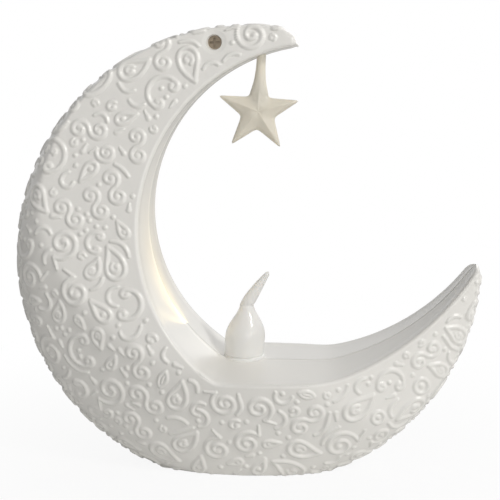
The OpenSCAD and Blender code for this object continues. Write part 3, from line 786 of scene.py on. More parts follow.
@dataclass
class ScrollRelief:
    """Raised scroll ornament laid over a surface that is given as points and normals.

    Attributes:
        points, normals: The surface.
        room: How far each point lies from where the ornament has to stop.
        seed: Seed of the layout.
        space: Least space between two strokes.
        reach: How far past a piece its strokes' room is kept.
        cell: Size of the cells that the points are sorted into.
        crowding: Share of a piece's radius that has to be free at its middle.
        fall: Most that a flat piece is bent to lie on the surface.
        roundness: How full the cross-section of a stroke is.
        leaf_r, leaf_share: Radius and slimness of the long leaf on the nose.
        tendril_width, tendril_height: Half width and height of a grown stroke.
        tendril_step, tendril_steps: Length of one step of its growth, and the least and most of them.
        tendril_tries: How many places are tried for one.
        tendril_bend, tendril_curl: Ranges of its turn at each step, and of how that turn grows.
        tendril_asides: Angles by which it turns aside where its way is blocked.
        tendril_tail: Number of its latest places that it may come close to.
        tendril_passes, tendril_taper: How often it is smoothed, and how much thinner its ends are.
        side_lean: How far a direction leans towards the depth before it is laid on the surface.
        relief: Height of the ornament at each point.
        cells, tree: The points, sorted for searching.
    """

    points: Array
    normals: Array
    room: Array
    seed: int = 11
    space: float = 0.34 * MM
    reach: float = 3.6 * MM
    cell: float = 3.0 * MM
    crowding: float = 0.45
    fall: float = 1.2 * MM
    roundness: float = 0.8
    leaf_r: float = 6.6 * MM
    leaf_share: float = 0.72
    tendril_width: float = 0.7 * MM
    tendril_height: float = 0.46 * MM
    tendril_step: float = 0.5 * MM
    tendril_steps: tuple[int, int] = (9, 34)
    tendril_tries: int = 2600
    tendril_bend: Span = (0.05, 0.2)
    tendril_curl: Span = (0.0, 0.014)
    tendril_asides: tuple[float, ...] = (0.0, 0.14, -0.14, 0.28, -0.28)
    tendril_tail: int = 4
    tendril_passes: int = 3
    tendril_taper: float = 0.2
    side_lean: float = 0.3
    relief: Array = field(init=False)
    cells: dict[tuple[int, int, int], Array] = field(init=False)
    tree: KDTree = field(init=False)

    def __post_init__(self) -> None:
        """Starts with a bare surface and sorts its points for searching."""
        self.relief = np.zeros(len(self.points))
        keys = np.floor(self.points / self.cell).astype(int)
        order = np.lexsort(keys.T)
        breaks = np.nonzero(np.any(np.diff(keys[order], axis=0), axis=1))[0] + 1
        self.cells = {tuple(keys[group[0]]): group for group in np.split(order, breaks)}
        self.tree = KDTree(len(self.points))
        for index, point in enumerate(self.points):
            self.tree.insert(point, index)
        self.tree.balance()

    def near(self, centre: Array, reach: float) -> Array:
        """Lists the points within a distance.

        Args:
            centre: A place on the surface.
            reach: The distance.

        Returns:
            Their numbers.
        """
        low = np.floor((centre - reach) / self.cell).astype(int)
        high = np.floor((centre + reach) / self.cell).astype(int)
        keys = product(*(range(first, last + 1) for first, last in zip(low, high)))
        return np.concatenate([self.cells[key] for key in keys if key in self.cells])

    def along(self, normal: Array, turn: float) -> Array:
        """Gives a direction along the surface.

        Args:
            normal: The surface's normal.
            turn: How far the direction is turned in radians.

        Returns:
            The direction, of length 1.
        """
        lean = self.side_lean * math.sin(2 * turn)
        side = np.cross(normal, (math.cos(turn), lean, math.sin(turn)))
        return side / np.linalg.norm(side)

    def laid(self, centre: int, shapes: Sequence[Stroke], radius: float, width: float,
             turn: float) -> Optional[tuple[Array, Array, Array]]:
        """Lays a piece's strokes on the surface.

        Args:
            centre: Number of the point at its middle.
            shapes: Its strokes.
            radius: Its radius.
            width: Half width of its strokes.
            turn: How far it is turned in radians.

        Returns:
            Places and half widths along the strokes, and the nearest points' numbers.
        """
        middle, normal = self.points[centre], self.normals[centre]
        side = self.along(normal, turn)
        other = np.cross(normal, side)
        marks = np.concatenate(shapes)
        places = middle + radius * (marks[:, :1] * side + marks[:, 1:2] * other)
        nearest = np.array([self.tree.find(place)[1] for place in places])
        ground, up = self.points[nearest], self.normals[nearest]
        places = places - up * ((places - ground) * up).sum(axis=1)[:, None]
        if np.linalg.norm(places - ground, axis=1).max() > self.fall:
            return None
        return places, width * marks[:, 2], nearest

    def place(self, course: Course, centre: int, shapes: Sequence[Stroke], radius: float,
              turn: float) -> bool:
        """Puts a piece down if there is room for it.

        Args:
            course: The course that gives its strokes their width and height.
            centre: Number of the point at its middle.
            shapes: Its strokes.
            radius: Its radius.
            turn: How far it is turned in radians.

        Returns:
            Whether it was put down.
        """
        found = self.laid(centre, shapes, radius, course.width, turn)
        if found is None:
            return False
        places, widths, nearest = found
        if (self.room[nearest] < widths + self.space).any():
            return False
        self.raise_strokes(centre, places, widths, radius, course.height)
        return True

    def lay_course(self, course: Course, rng: random.Random) -> None:
        """Tries one course's pieces at free places.

        Args:
            course: The course.
            rng: Source of the layout's chance.
        """
        laid = 0
        for _ in range(course.tries):
            radius = rng.uniform(*course.radius)
            shapes = rng.choice(course.motifs)()
            turn = rng.uniform(0.0, 2 * math.pi)
            centre = rng.randrange(len(self.points))
            if self.room[centre] >= self.crowding * radius:
                laid += self.place(course, centre, shapes, radius, turn)
        LOG.info("course of radius %.1f mm: %d pieces", course.radius[1] / MM, laid)

    def cover(self, leaf_at: Array) -> None:
        """Fills the surface: the leaf on the nose, large pieces, grown strokes, then small ones.

        Args:
            leaf_at: Where the long leaf on the nose lies.
        """
        rng = random.Random(self.seed)
        long_leaf = [stroke(part[:, 0], self.leaf_share * part[:, 1], part[:, 2]) for part in leaf()]
        self.place(COURSES[0], self.tree.find(leaf_at)[1], long_leaf, self.leaf_r, -math.pi / 2)
        for course in COURSES:
            self.lay_course(course, rng)
        grown = sum(self.grow(rng) for _ in range(self.tendril_tries))
        LOG.info("grown strokes: %d", grown)
        for course in FILLERS:
            self.lay_course(course, rng)

    def stepped(self, place: Array, heading: Array, turn: float,
                trail: Array) -> Optional[tuple[Array, Array]]:
        """Takes one step over the surface, turning aside where the way is blocked.

        Args:
            place: Where the stroke's end is.
            heading: Its direction.
            turn: How far it turns by itself in radians.
            trail: The stroke so far without its latest places.

        Returns:
            The next place and direction, or None where all ways are blocked.
        """
        up = self.normals[self.tree.find(place)[1]]
        side = np.cross(up, heading)
        for aside in self.tendril_asides:
            way = math.cos(turn + aside) * heading + math.sin(turn + aside) * side
            spot = place + self.tendril_step * way
            nearest = self.tree.find(spot)[1]
            if self.room[nearest] < self.tendril_width + self.space:
                continue
            ground, normal = self.points[nearest], self.normals[nearest]
            spot = spot - normal * ((spot - ground) @ normal)
            clear = 2 * self.tendril_width + self.space
            if len(trail) and np.linalg.norm(trail - spot, axis=1).min() < clear:
                continue
            way = spot - place
            way = way - normal * (way @ normal)
            return spot, way / np.linalg.norm(way)
        return None

    def grow(self, rng: random.Random) -> bool:
        """Grows one curling stroke both ways from a free place.

        Args:
            rng: Source of the layout's chance.

        Returns:
            Whether it grew long enough to be kept.
        """
        start = rng.randrange(len(self.points))
        turn = rng.uniform(0.0, 2 * math.pi)
        bend, tighten = rng.uniform(*self.tendril_bend), rng.uniform(*self.tendril_curl)
        hand = rng.choice((-1, 1))
        if self.room[start] < self.tendril_width + self.space:
            return False
        origin, normal = self.points[start], self.normals[start]
        heading = self.along(normal, turn)
        arms: list[list[Array]] = []
        for sign in (1, -1):
            arm, place, way = [], origin, sign * heading
            while len(arm) < self.tendril_steps[1] // 2:
                others = [origin] + arms[0] if arms else []
                trail = np.array(others + arm[:-self.tendril_tail])
                moved = self.stepped(place, way, hand * (bend + tighten * len(arm)), trail)
                if moved is None:
                    break
                place, way = moved
                arm.append(place)
            arms.append(arm)
        if len(arms[0]) + len(arms[1]) < self.tendril_steps[0]:
            return False
        places = np.array(arms[1][::-1] + [origin] + arms[0])
        for _ in range(self.tendril_passes):
            places[1:-1] = (places[:-2] + 2 * places[1:-1] + places[2:]) / 4
        share = np.linspace(0.0, 1.0, len(places))
        taper = self.tendril_taper
        widths = self.tendril_width * (1.0 - taper + taper * np.sin(math.pi * share))
        length = self.tendril_step * len(places)
        self.raise_strokes(start, places, widths, length, self.tendril_height)
        return True

    def raise_strokes(self, centre: int, places: Array, widths: Array, radius: float,
                      height: float) -> None:
        """Raises the surface along a piece's strokes and takes their room.

        Args:
            centre: Number of the point at the piece's middle.
            places: Places along its strokes.
            widths: Half widths there.
            radius: Radius of the piece.
            height: Height of its strokes.
        """
        patch = self.near(self.points[centre], radius + self.reach)
        away = np.sqrt(((self.points[patch][:, None] - places[None]) ** 2).sum(axis=2))
        share = (away / widths).min(axis=1)
        rise = height * np.clip(1.0 - share ** 2, 0.0, None) ** self.roundness
        self.relief[patch] = np.maximum(self.relief[patch], rise)
        self.room[patch] = np.minimum(self.room[patch], (away - widths).min(axis=1))


@dataclass
class Skin:
    """One half of the case's skin while it is built.

    Attributes:
        side: -1 for the front, 1 for the back.
        bm: Its shape.
        past: For each point, its length past the edge between channel and outside.
        points, normals: The points before they are moved, and their normals.
    """

    side: int
    bm: bmesh.types.BMesh
    past: Array
    points: Array = field(init=False)
    normals: Array = field(init=False)

    def __post_init__(self) -> None:
        """Takes the points and normals from the shape."""
        self.points = np.array([vertex.co for vertex in self.bm.verts])
        self.normals = np.array([vertex.normal for vertex in self.bm.verts])


@dataclass
class CrescentCase:
    """The two case halves: smooth channel, rounded edges and ornament on the outside.

    Attributes:
        form: The crescent's surface.
        columns: Number of columns along the arm.
        steps: Points of the inner wall, the edge and the outer face in a section.
        arcs: Number of pieces that each skin is split into.
        cover, channel_cover: How far the skin lies over the CAD shell, outside and on the inner wall.
        cover_run: How far into the channel the cover goes down from the one to the other.
        well_r, well_depth, well_taper: Radius of a screw well, its wall's depth, and its draft there.
        well_margin, well_run: Bare margin round it, and how far from it the skin is pressed down.
        well_share: Share of the skin's lift that stays at its edge.
        collar_r, stem_r: Radius of the holes under the candle's collar and the star's stem.
        collar_reach, stem_reach: How far from the floor and the arm these holes cut.
        rim_margin, tip_margin: Bare margin along the edge and at the lower tip.
        nose_bare_angle: Direction in degrees where the ornament stops at the nose.
        seam_rise: Height of the parting line in the channel.
        leaf_at: Where the long leaf lies, from the ring's middle; leaf_depth is in front of the seam.
        relief_full: Height at which the relief counts as a crest.
        spare_depth, press: Depth past the CAD box that stays as it is, and the share of the rest pressed in.
        base_level, base_turn: Where the skin is cut at the base, and how far its lower edge turns in.
        tip_cut, tip_share: How much shorter the smooth copies are at the tips, and where the lower starts.
        lower_tip: Direction in degrees and distance of the lower tip's end.
        foot_rounds: How often the place of the stem's foot is refined.
    """

    form: CrescentForm
    columns: int = 980
    steps: tuple[int, int, int] = (18, 6, 160)
    arcs: int = 2
    cover: float = 0.28 * MM
    channel_cover: float = 0.07 * MM
    cover_run: float = 3.0 * MM
    well_r: float = 2.12 * MM
    well_depth: float = 3.0 * MM
    well_taper: float = 0.3
    well_margin: float = 0.5 * MM
    well_run: float = 1.2 * MM
    well_share: float = 0.15
    collar_r: float = 5.2 * MM
    stem_r: float = 1.05 * MM
    collar_reach: float = 1.2 * MM
    stem_reach: float = 1.5 * MM
    rim_margin: float = 0.25 * MM
    tip_margin: float = 1.0 * MM
    nose_bare_angle: float = 80.0
    seam_rise: float = 0.13 * MM
    leaf_at: Span = (1.9 * MM, 60.0 * MM)
    leaf_depth: float = -5.0 * MM
    relief_full: float = 0.5 * MM
    spare_depth: float = 0.2 * MM
    press: float = 0.55
    base_level: float = 0.02 * MM
    base_turn: Span = (0.95, 0.93)
    tip_cut: float = 3.5 * MM
    tip_share: float = 0.6
    lower_tip: Span = (80.0, 10.4 * MM)
    foot_rounds: int = 20

    def base_skin(self, side: int) -> Skin:
        """Builds one half of the skin on the CAD surface.

        Args:
            side: -1 for the front, 1 for the back.

        Returns:
            The skin.
        """
        rows = sum(self.steps)
        bm = bmesh.new()
        bmesh.ops.create_grid(bm, x_segments=self.columns - 1, y_segments=rows - 1, size=1.0)
        bm.verts.ensure_lookup_table()
        angles = self.form.angles(self.columns)
        sections = [self.form.profile(angle, self.steps) for angle in angles]
        past = np.zeros(len(bm.verts))
        for index, vertex in enumerate(bm.verts):
            column = round((vertex.co.x + 1.0) / 2.0 * (self.columns - 1))
            row = round((vertex.co.y + 1.0) / 2.0 * (rows - 1))
            rho, depth, length = (part[row] for part in sections[column])
            angle = angles[column]
            vertex.co = (rho * math.cos(angle), side * depth, self.form.ring_z + rho * math.sin(angle))
            past[index] = length
        if side < 0:
            bmesh.ops.reverse_faces(bm, faces=bm.faces[:])
        bm.normal_update()
        middle = max(bm.faces, key=lambda face: face.calc_center_median().y * side)
        if middle.normal.y * side < 0:
            bmesh.ops.reverse_faces(bm, faces=bm.faces[:])
            bm.normal_update()
        return Skin(side, bm, past)

    def wells(self, side: int) -> list[Vector]:
        """Lists the screw wells on one side."""
        return middles_of("upper_screw" if side < 0 else "lower_screws")

    @staticmethod
    def from_well(well: Vector, skin: Skin) -> Array:
        """Works out how far each point lies from a screw well's axis.

        Args:
            well: The middle of its screw.
            skin: One half of the skin.

        Returns:
            The distances, 1 metre for points on the other side.
        """
        away = np.hypot(skin.points[:, 0] - well.x, skin.points[:, 2] - well.z)
        away[skin.points[:, 1] * skin.side < 0] = 1.0
        return away

    def room_for(self, skin: Skin) -> Array:
        """Works out how far each point lies from where the ornament stops.

        Args:
            skin: One half of the skin.

        Returns:
            The distances.
        """
        room = skin.past - self.rim_margin
        for well in self.wells(skin.side):
            room = np.minimum(room, self.from_well(well, skin) - self.well_r - self.well_margin)
        angle = np.degrees(np.arctan2(skin.points[:, 2] - self.form.ring_z, skin.points[:, 0])) % 360.0
        nose = np.radians(angle - self.nose_bare_angle) * self.form.outer_r
        tip = np.radians(self.form.last_angle - angle) * self.form.outer_r - self.tip_margin
        return np.minimum(np.minimum(room, nose), tip)

    def lifted(self, skin: Skin) -> Array:
        """Works out how far the skin lies over the CAD surface at each point.

        Args:
            skin: One half of the skin.

        Returns:
            The heights.
        """
        near_edge = np.clip(1.0 + skin.past / self.cover_run, 0.0, 1.0)
        lift = self.channel_cover + (self.cover - self.channel_cover) * near_edge ** 2 * (3 - 2 * near_edge)
        seam = np.clip(1.0 - np.abs(skin.points[:, 1]) / self.form.seam_half, 0.0, 1.0)
        lift += self.seam_rise * seam * (skin.past < 0)
        for well in self.wells(skin.side):
            past_edge = self.from_well(well, skin) - self.well_r
            lift *= np.clip(past_edge / self.well_run, self.well_share, 1.0)
        return lift

    def open_round(self, bm: bmesh.types.BMesh, axis: Vector, along: int, radius: float,
                   inside: Callable[[Vector], bool], wall: Optional[Vector]) -> None:
        """Cuts a clean round hole into the skin.

        Args:
            bm: The skin.
            axis: A point on the hole's axis.
            along: Number of the coordinate along the axis.
            radius: Radius of the hole.
            inside: Whether a point is on the part of the skin that is cut.
            wall: How far and where to the hole's edge is drawn in, or None.
        """
        across = [i for i in range(3) if i != along]

        def offset(point: Vector) -> Vector:
            """The point's offset from the axis."""
            return Vector((point[across[0]] - axis[across[0]], point[across[1]] - axis[across[1]]))

        gone = [face for face in bm.faces if inside(face.calc_center_median())
                and offset(face.calc_center_median()).length < radius]
        edge_verts = {vertex for face in gone for vertex in face.verts}
        bmesh.ops.delete(bm, geom=gone, context="FACES")
        ring_verts = [vertex for vertex in edge_verts if vertex.is_valid and vertex.is_boundary]
        for vertex in ring_verts:
            away = offset(vertex.co).normalized() * radius
            vertex.co[across[0]] = axis[across[0]] + away.x
            vertex.co[across[1]] = axis[across[1]] + away.y
        if wall is not None:
            chosen = set(ring_verts)
            rim = [edge for edge in bm.edges if edge.is_boundary and set(edge.verts) <= chosen]
            made = bmesh.ops.extrude_edge_only(bm, edges=rim)
            moved = [item for item in made["geom"] if isinstance(item, bmesh.types.BMVert)]
            bmesh.ops.translate(bm, verts=moved, vec=wall)
            centre = sum((vertex.co for vertex in moved), Vector()) / len(moved)
            for vertex in moved:
                vertex.co.x += (centre.x - vertex.co.x) * self.well_taper
                vertex.co.z += (centre.z - vertex.co.z) * self.well_taper
            bmesh.ops.split_edges(bm, edges=rim)

    def trim_base(self, bm: bmesh.types.BMesh) -> None:
        """Cuts the skin off at the base and turns its lower edge in."""
        level = self.base_level
        bmesh.ops.bisect_plane(bm, geom=bm.verts[:] + bm.edges[:] + bm.faces[:], plane_co=(0, 0, level),
                               plane_no=(0, 0, 1), clear_inner=True)
        rim = [edge for edge in bm.edges if edge.is_boundary and all(v.co.z < 2 * level for v in edge.verts)]
        made = bmesh.ops.extrude_edge_only(bm, edges=rim)
        inner = [item for item in made["geom"] if isinstance(item, bmesh.types.BMVert)]
        bmesh.ops.scale(bm, verts=inner, vec=(*self.base_turn, 1.0))

    def build_skins(self) -> None:
        """Builds both halves of the skin with one ornament that runs over the seam."""
        skins = [self.base_skin(side) for side in (-1, 1)]
        outside = [skin.past > 0.0 for skin in skins]
        halves = [(skin.points, skin.normals, self.room_for(skin)) for skin in skins]
        ornament = ScrollRelief(*(np.concatenate([part[keep] for part, keep in zip(parts, outside)])
                                  for parts in zip(*halves)))
        leaf_x, leaf_z = self.leaf_at
        ornament.cover(np.array((leaf_x, self.leaf_depth, self.form.ring_z + leaf_z)))
        reliefs = np.split(ornament.relief, [int(outside[0].sum())])
        for skin, keep, relief in zip(skins, outside, reliefs):
            height = np.zeros(len(skin.points))
            height[keep] = relief
            moved = skin.points + skin.normals * (height + self.lifted(skin))[:, None]
            moved[np.abs(skin.points[:, 1]) < SAME, 1] = 0.0
            moved[:, 1] = self.held_in(moved[:, 1])
            # The relief layer also drives the painted shade in the low places between strokes.
            layer = skin.bm.verts.layers.float.new("relief")
            for vertex, place, rise in zip(skin.bm.verts, moved, height):
                vertex.co = place
                vertex[layer] = rise / self.relief_full
            border = [vertex for vertex in skin.bm.verts if vertex.is_boundary]
            bmesh.ops.remove_doubles(skin.bm, verts=border, dist=MERGE / 2)
            self.finish_skin(skin.bm, skin.side)

    def held_in(self, depth: Array) -> Array:
        """Presses strokes at the deepest places flatter, so that the body keeps its depth.

        Args:
            depth: Depths of the skin's points.

        Returns:
            The depths held in.
        """
        over = np.maximum(np.abs(depth) - CAD_BOX[1].y - self.spare_depth, 0.0)
        return depth - np.sign(depth) * self.press * over

    def finish_skin(self, bm: bmesh.types.BMesh, side: int) -> None:
        """Opens the holes of one skin and hands it over.

        Args:
            bm: The skin.
            side: -1 for the front, 1 for the back.
        """
        for well in self.wells(side):
            self.open_round(bm, well, 1, self.well_r, lambda p: p.y * side > 0,
                            Vector((0, -side * self.well_depth, 0)))
        level = self.form.ring_z - self.form.floor_drop
        self.open_round(bm, middle_of("lamp"), 2, self.collar_r,
                        lambda p: abs(p.z - level) < self.collar_reach, None)
        arm = self.stem_foot()
        self.open_round(bm, arm, 2, self.stem_r, lambda p: abs(p.z - arm.z) < self.stem_reach, None)
        self.trim_base(bm)
        self.hand_over(bm, "front_ornament" if side < 0 else "back_ornament")

    def hand_over(self, bm: bmesh.types.BMesh, name: str) -> None:
        """Splits a skin into arcs that keep the whole skin's normals, so that no joint shows.

        Args:
            bm: The skin; it is freed.
            name: Name of the pieces, before their number.
        """
        bm.normal_update()
        layer = bm.verts.layers.float_vector.new("whole_normal")
        for vertex in bm.verts:
            vertex[layer] = vertex.normal
        first, last = self.form.first_angle, self.form.last_angle
        for index in range(self.arcs):
            low = first + (last - first) * index / self.arcs if index else 0.0
            high = first + (last - first) * (index + 1) / self.arcs if index + 1 < self.arcs else 360.0
            part = bm.copy()
            gone = []
            for face in part.faces:
                middle = face.calc_center_median()
                angle = math.degrees(math.atan2(middle.z - self.form.ring_z, middle.x)) % 360.0
                if not low <= angle < high:
                    gone.append(face)
            bmesh.ops.delete(part, geom=gone, context="FACES")
            piece = finish_mesh(part, f"{name}_{index + 1}", PEARL, "crescent", crease=180.0)
            mesh = piece.data
            kept = mesh.attributes["whole_normal"]
            mesh.normals_split_custom_set_from_vertices([item.vector for item in kept.data])
            mesh.attributes.remove(kept)
        bm.free()

    def stem_foot(self) -> Vector:
        """Finds where the star's stem meets the arm."""
        centre, axis = joint_line("star_swivel")
        length = 0.0
        for _ in range(self.foot_rounds):
            point = centre + axis * length
            angle = math.atan2(point.z - self.form.ring_z, point.x)
            reach = math.hypot(point.x, point.z - self.form.ring_z)
            length += float(self.form.inner(angle, np.array(0.0))) - reach
        return centre + axis * length

    def build_shells(self) -> None:
        """Replaces the CAD shells by smooth copies whose tips lie inside the skin."""
        form = self.form
        nose, tip = (form.nose_angle, form.nose_reach), self.lower_tip
        for node in ("front_shell", "back_shell"):
            bm = merged_copy(node)
            for (angle, reach), region in ((nose, lambda p: p.z > form.ring_z),
                                           (tip, lambda p: p.x > self.tip_share * form.outer_r)):
                way = Vector((math.cos(math.radians(angle)), 0, math.sin(math.radians(angle))))
                place = Vector((0, 0, form.ring_z)) + way * (reach - self.tip_cut)
                faces = [face for face in bm.faces if region(face.calc_center_median())]
                parts = set(faces)
                parts.update(edge for face in faces for edge in face.edges)
                parts.update(vertex for face in faces for vertex in face.verts)
                bmesh.ops.bisect_plane(bm, geom=list(parts), plane_co=place, plane_no=way, clear_outer=True)
            name = "front_case" if node == "front_shell" else "back_case"
            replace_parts(finish_mesh(bm, name, PEARL, "crescent"), node)


@dataclass
class StarPendant:
    """The star and its stem.

    Attributes:
        point_r, notch_r: Radius of the sharp points and of the notches before rounding.
        softening: How often the outline is rounded.
        edge_half: Half thickness of the rounded edge.
        slope: How steeply the arms rise to their ridges.
        dimple_r, dimple: Size and depth of the dimple at the middle.
        stem: Distance from the star's middle, radius across, and share of it in depth.
        stem_rows, stem_passes, stem_sides: Points along the stem, how often they are smoothed, its sides.
        flange_r, flange_h: Size of the flange that holds the stem in the arm.
        columns, rings: Points round a face of the star, and from its middle to its edge.
        passes: How often the faces are smoothed.
        outline: The rounded outline's points.
    """

    point_r: float = 12.0 * MM
    notch_r: float = 4.75 * MM
    softening: int = 24
    edge_half: float = 0.95 * MM
    slope: float = 0.36
    dimple_r: float = 1.3 * MM
    dimple: float = 0.75 * MM
    stem: tuple[tuple[float, float, float], ...] = (
        (-0.6 * MM, 0.0, 0.6), (0.2 * MM, 1.1 * MM, 0.6), (1.3 * MM, 2.2 * MM, 0.66),
        (2.6 * MM, 2.85 * MM, 0.72), (4.25 * MM, 2.75 * MM, 0.6), (6.1 * MM, 2.2 * MM, 0.74),
        (8.4 * MM, 1.65 * MM, 0.95),
        (11.7 * MM, 1.3 * MM, 1.0), (15.4 * MM, 1.24 * MM, 1.0), (17.6 * MM, 1.24 * MM, 1.0))
    flange_r: float = 2.0 * MM
    flange_h: float = 1.2 * MM
    stem_rows: int = 44
    stem_passes: int = 4
    stem_sides: int = 48
    columns: int = 200
    rings: int = 26
    passes: int = 5
    outline: Array = field(init=False)

    def __post_init__(self) -> None:
        """Draws the outline with its points and notches rounded."""
        ways = np.arange(10) * math.pi / 5
        radii = np.where(np.arange(10) % 2 == 0, self.point_r, self.notch_r)
        corners = np.column_stack((radii * np.sin(ways), radii * np.cos(ways)))
        share = np.linspace(0.0, 1.0, 40, endpoint=False)[:, None]
        line = np.concatenate([a + (b - a) * share for a, b in zip(corners, np.roll(corners, -1, axis=0))])
        for _ in range(self.softening):
            line = (np.roll(line, 1, axis=0) + 2 * line + np.roll(line, -1, axis=0)) / 4
        self.outline = line

    def radius(self, way: float) -> float:
        """Works out the star's radius in a direction.

        Args:
            way: Direction in radians, 0 upwards.

        Returns:
            The radius.
        """
        ways = np.arctan2(self.outline[:, 0], self.outline[:, 1]) % (2 * math.pi)
        order = np.argsort(ways)
        radii = np.hypot(self.outline[:, 0], self.outline[:, 1])
        return float(np.interp(way % (2 * math.pi), ways[order], radii[order], period=2 * math.pi))

    def rise(self, x: float, z: float) -> float:
        """Works out how far the star's face stands out.

        Args:
            x, z: A place inside the outline.

        Returns:
            The height over the middle plane.
        """
        away = float(np.hypot(self.outline[:, 0] - x, self.outline[:, 1] - z).min())
        edge = min(away / self.edge_half, 1.0)
        bowl = self.dimple * math.exp(-(x * x + z * z) / self.dimple_r ** 2)
        return self.edge_half * math.sqrt(1.0 - (1.0 - edge) ** 2) + self.slope * away - bowl

    def build(self) -> None:
        """Builds the star and its stem as one piece."""
        centre, axis = joint_line("star_swivel")
        bm = bmesh.new()
        for side in (-1, 1):
            self.add_face(bm, side)
        bmesh.ops.remove_doubles(bm, verts=bm.verts[:], dist=10 * MERGE)
        for _ in range(self.passes):
            bmesh.ops.smooth_vert(bm, verts=bm.verts[:], factor=0.5, use_axis_y=True)
        bmesh.ops.recalc_face_normals(bm, faces=bm.faces[:])
        self.add_stem(bm)
        lean = Matrix.Rotation(math.atan2(axis.x, axis.z), 4, "Y")
        bmesh.ops.transform(bm, matrix=Matrix.Translation(centre) @ lean, verts=bm.verts[:])
        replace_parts(finish_mesh(bm, "star_drop", STAR_CREAM, "star", crease=80.0), "star_pendant")

    def add_face(self, bm: bmesh.types.BMesh, side: int) -> None:
        """Adds the front or the back face of the star.

        Args:
            bm: Where it goes.
            side: -1 for the front, 1 for the back.
        """
        made = bmesh.ops.create_grid(bm, x_segments=self.columns, y_segments=self.rings, size=1.0)
        for vertex in made["verts"]:
            way = (vertex.co.x + 1.0) * math.pi
            share = math.sin((vertex.co.y + 1.0) * math.pi / 4)
            reach = share * self.radius(way)
            x, z = reach * math.sin(way), reach * math.cos(way)
            height = 0.0 if vertex.co.y > 0.999 else self.rise(x, z)
            vertex.co = (x, side * height, z)

    def add_stem(self, bm: bmesh.types.BMesh) -> None:
        """Spins the stem with the flange that holds it in the arm, and flattens its foot.

        Args:
            bm: Where it goes.
        """
        heights, radii, depths = (np.array(part) for part in zip(*self.stem))
        even = np.linspace(heights[0], heights[-1], self.stem_rows)
        smooth = np.interp(even, heights, radii)
        for _ in range(self.stem_passes):
            smooth[1:-1] = (smooth[:-2] + 2 * smooth[1:-1] + smooth[2:]) / 4
        top = float(heights[-1])
        outline = list(zip(smooth, even))
        outline += [(self.flange_r, top), (self.flange_r, top + self.flange_h), (0.0, top + self.flange_h)]
        for vertex in spun(bm, outline, self.stem_sides):
            vertex.co.y *= float(np.interp(vertex.co.z, heights, depths))


def spun(bm: bmesh.types.BMesh, outline: Iterable[Span], steps: int) -> list[bmesh.types.BMVert]:
    """Spins an outline about the Z axis into a closed shape.

    Args:
        bm: Where it goes.
        outline: Radius and height of each of its points.
        steps: Number of steps of the turn.

    Returns:
        The new vertices.
    """
    before = set(bm.verts)
    line = [bm.verts.new((radius, 0.0, height)) for radius, height in outline]
    edges = [bm.edges.new(pair) for pair in zip(line, line[1:])]
    bmesh.ops.spin(bm, geom=line + edges, cent=(0, 0, 0), axis=(0, 0, 1), angle=2 * math.pi, steps=steps,
                   use_merge=True, use_duplicate=False)
    fresh = [vertex for vertex in bm.verts if vertex not in before]
    bmesh.ops.remove_doubles(bm, verts=fresh, dist=MERGE)
    fresh = [vertex for vertex in bm.verts if vertex not in before]
    faces = {face for vertex in fresh for face in vertex.link_faces}
    bmesh.ops.recalc_face_normals(bm, faces=list(faces))
    return fresh


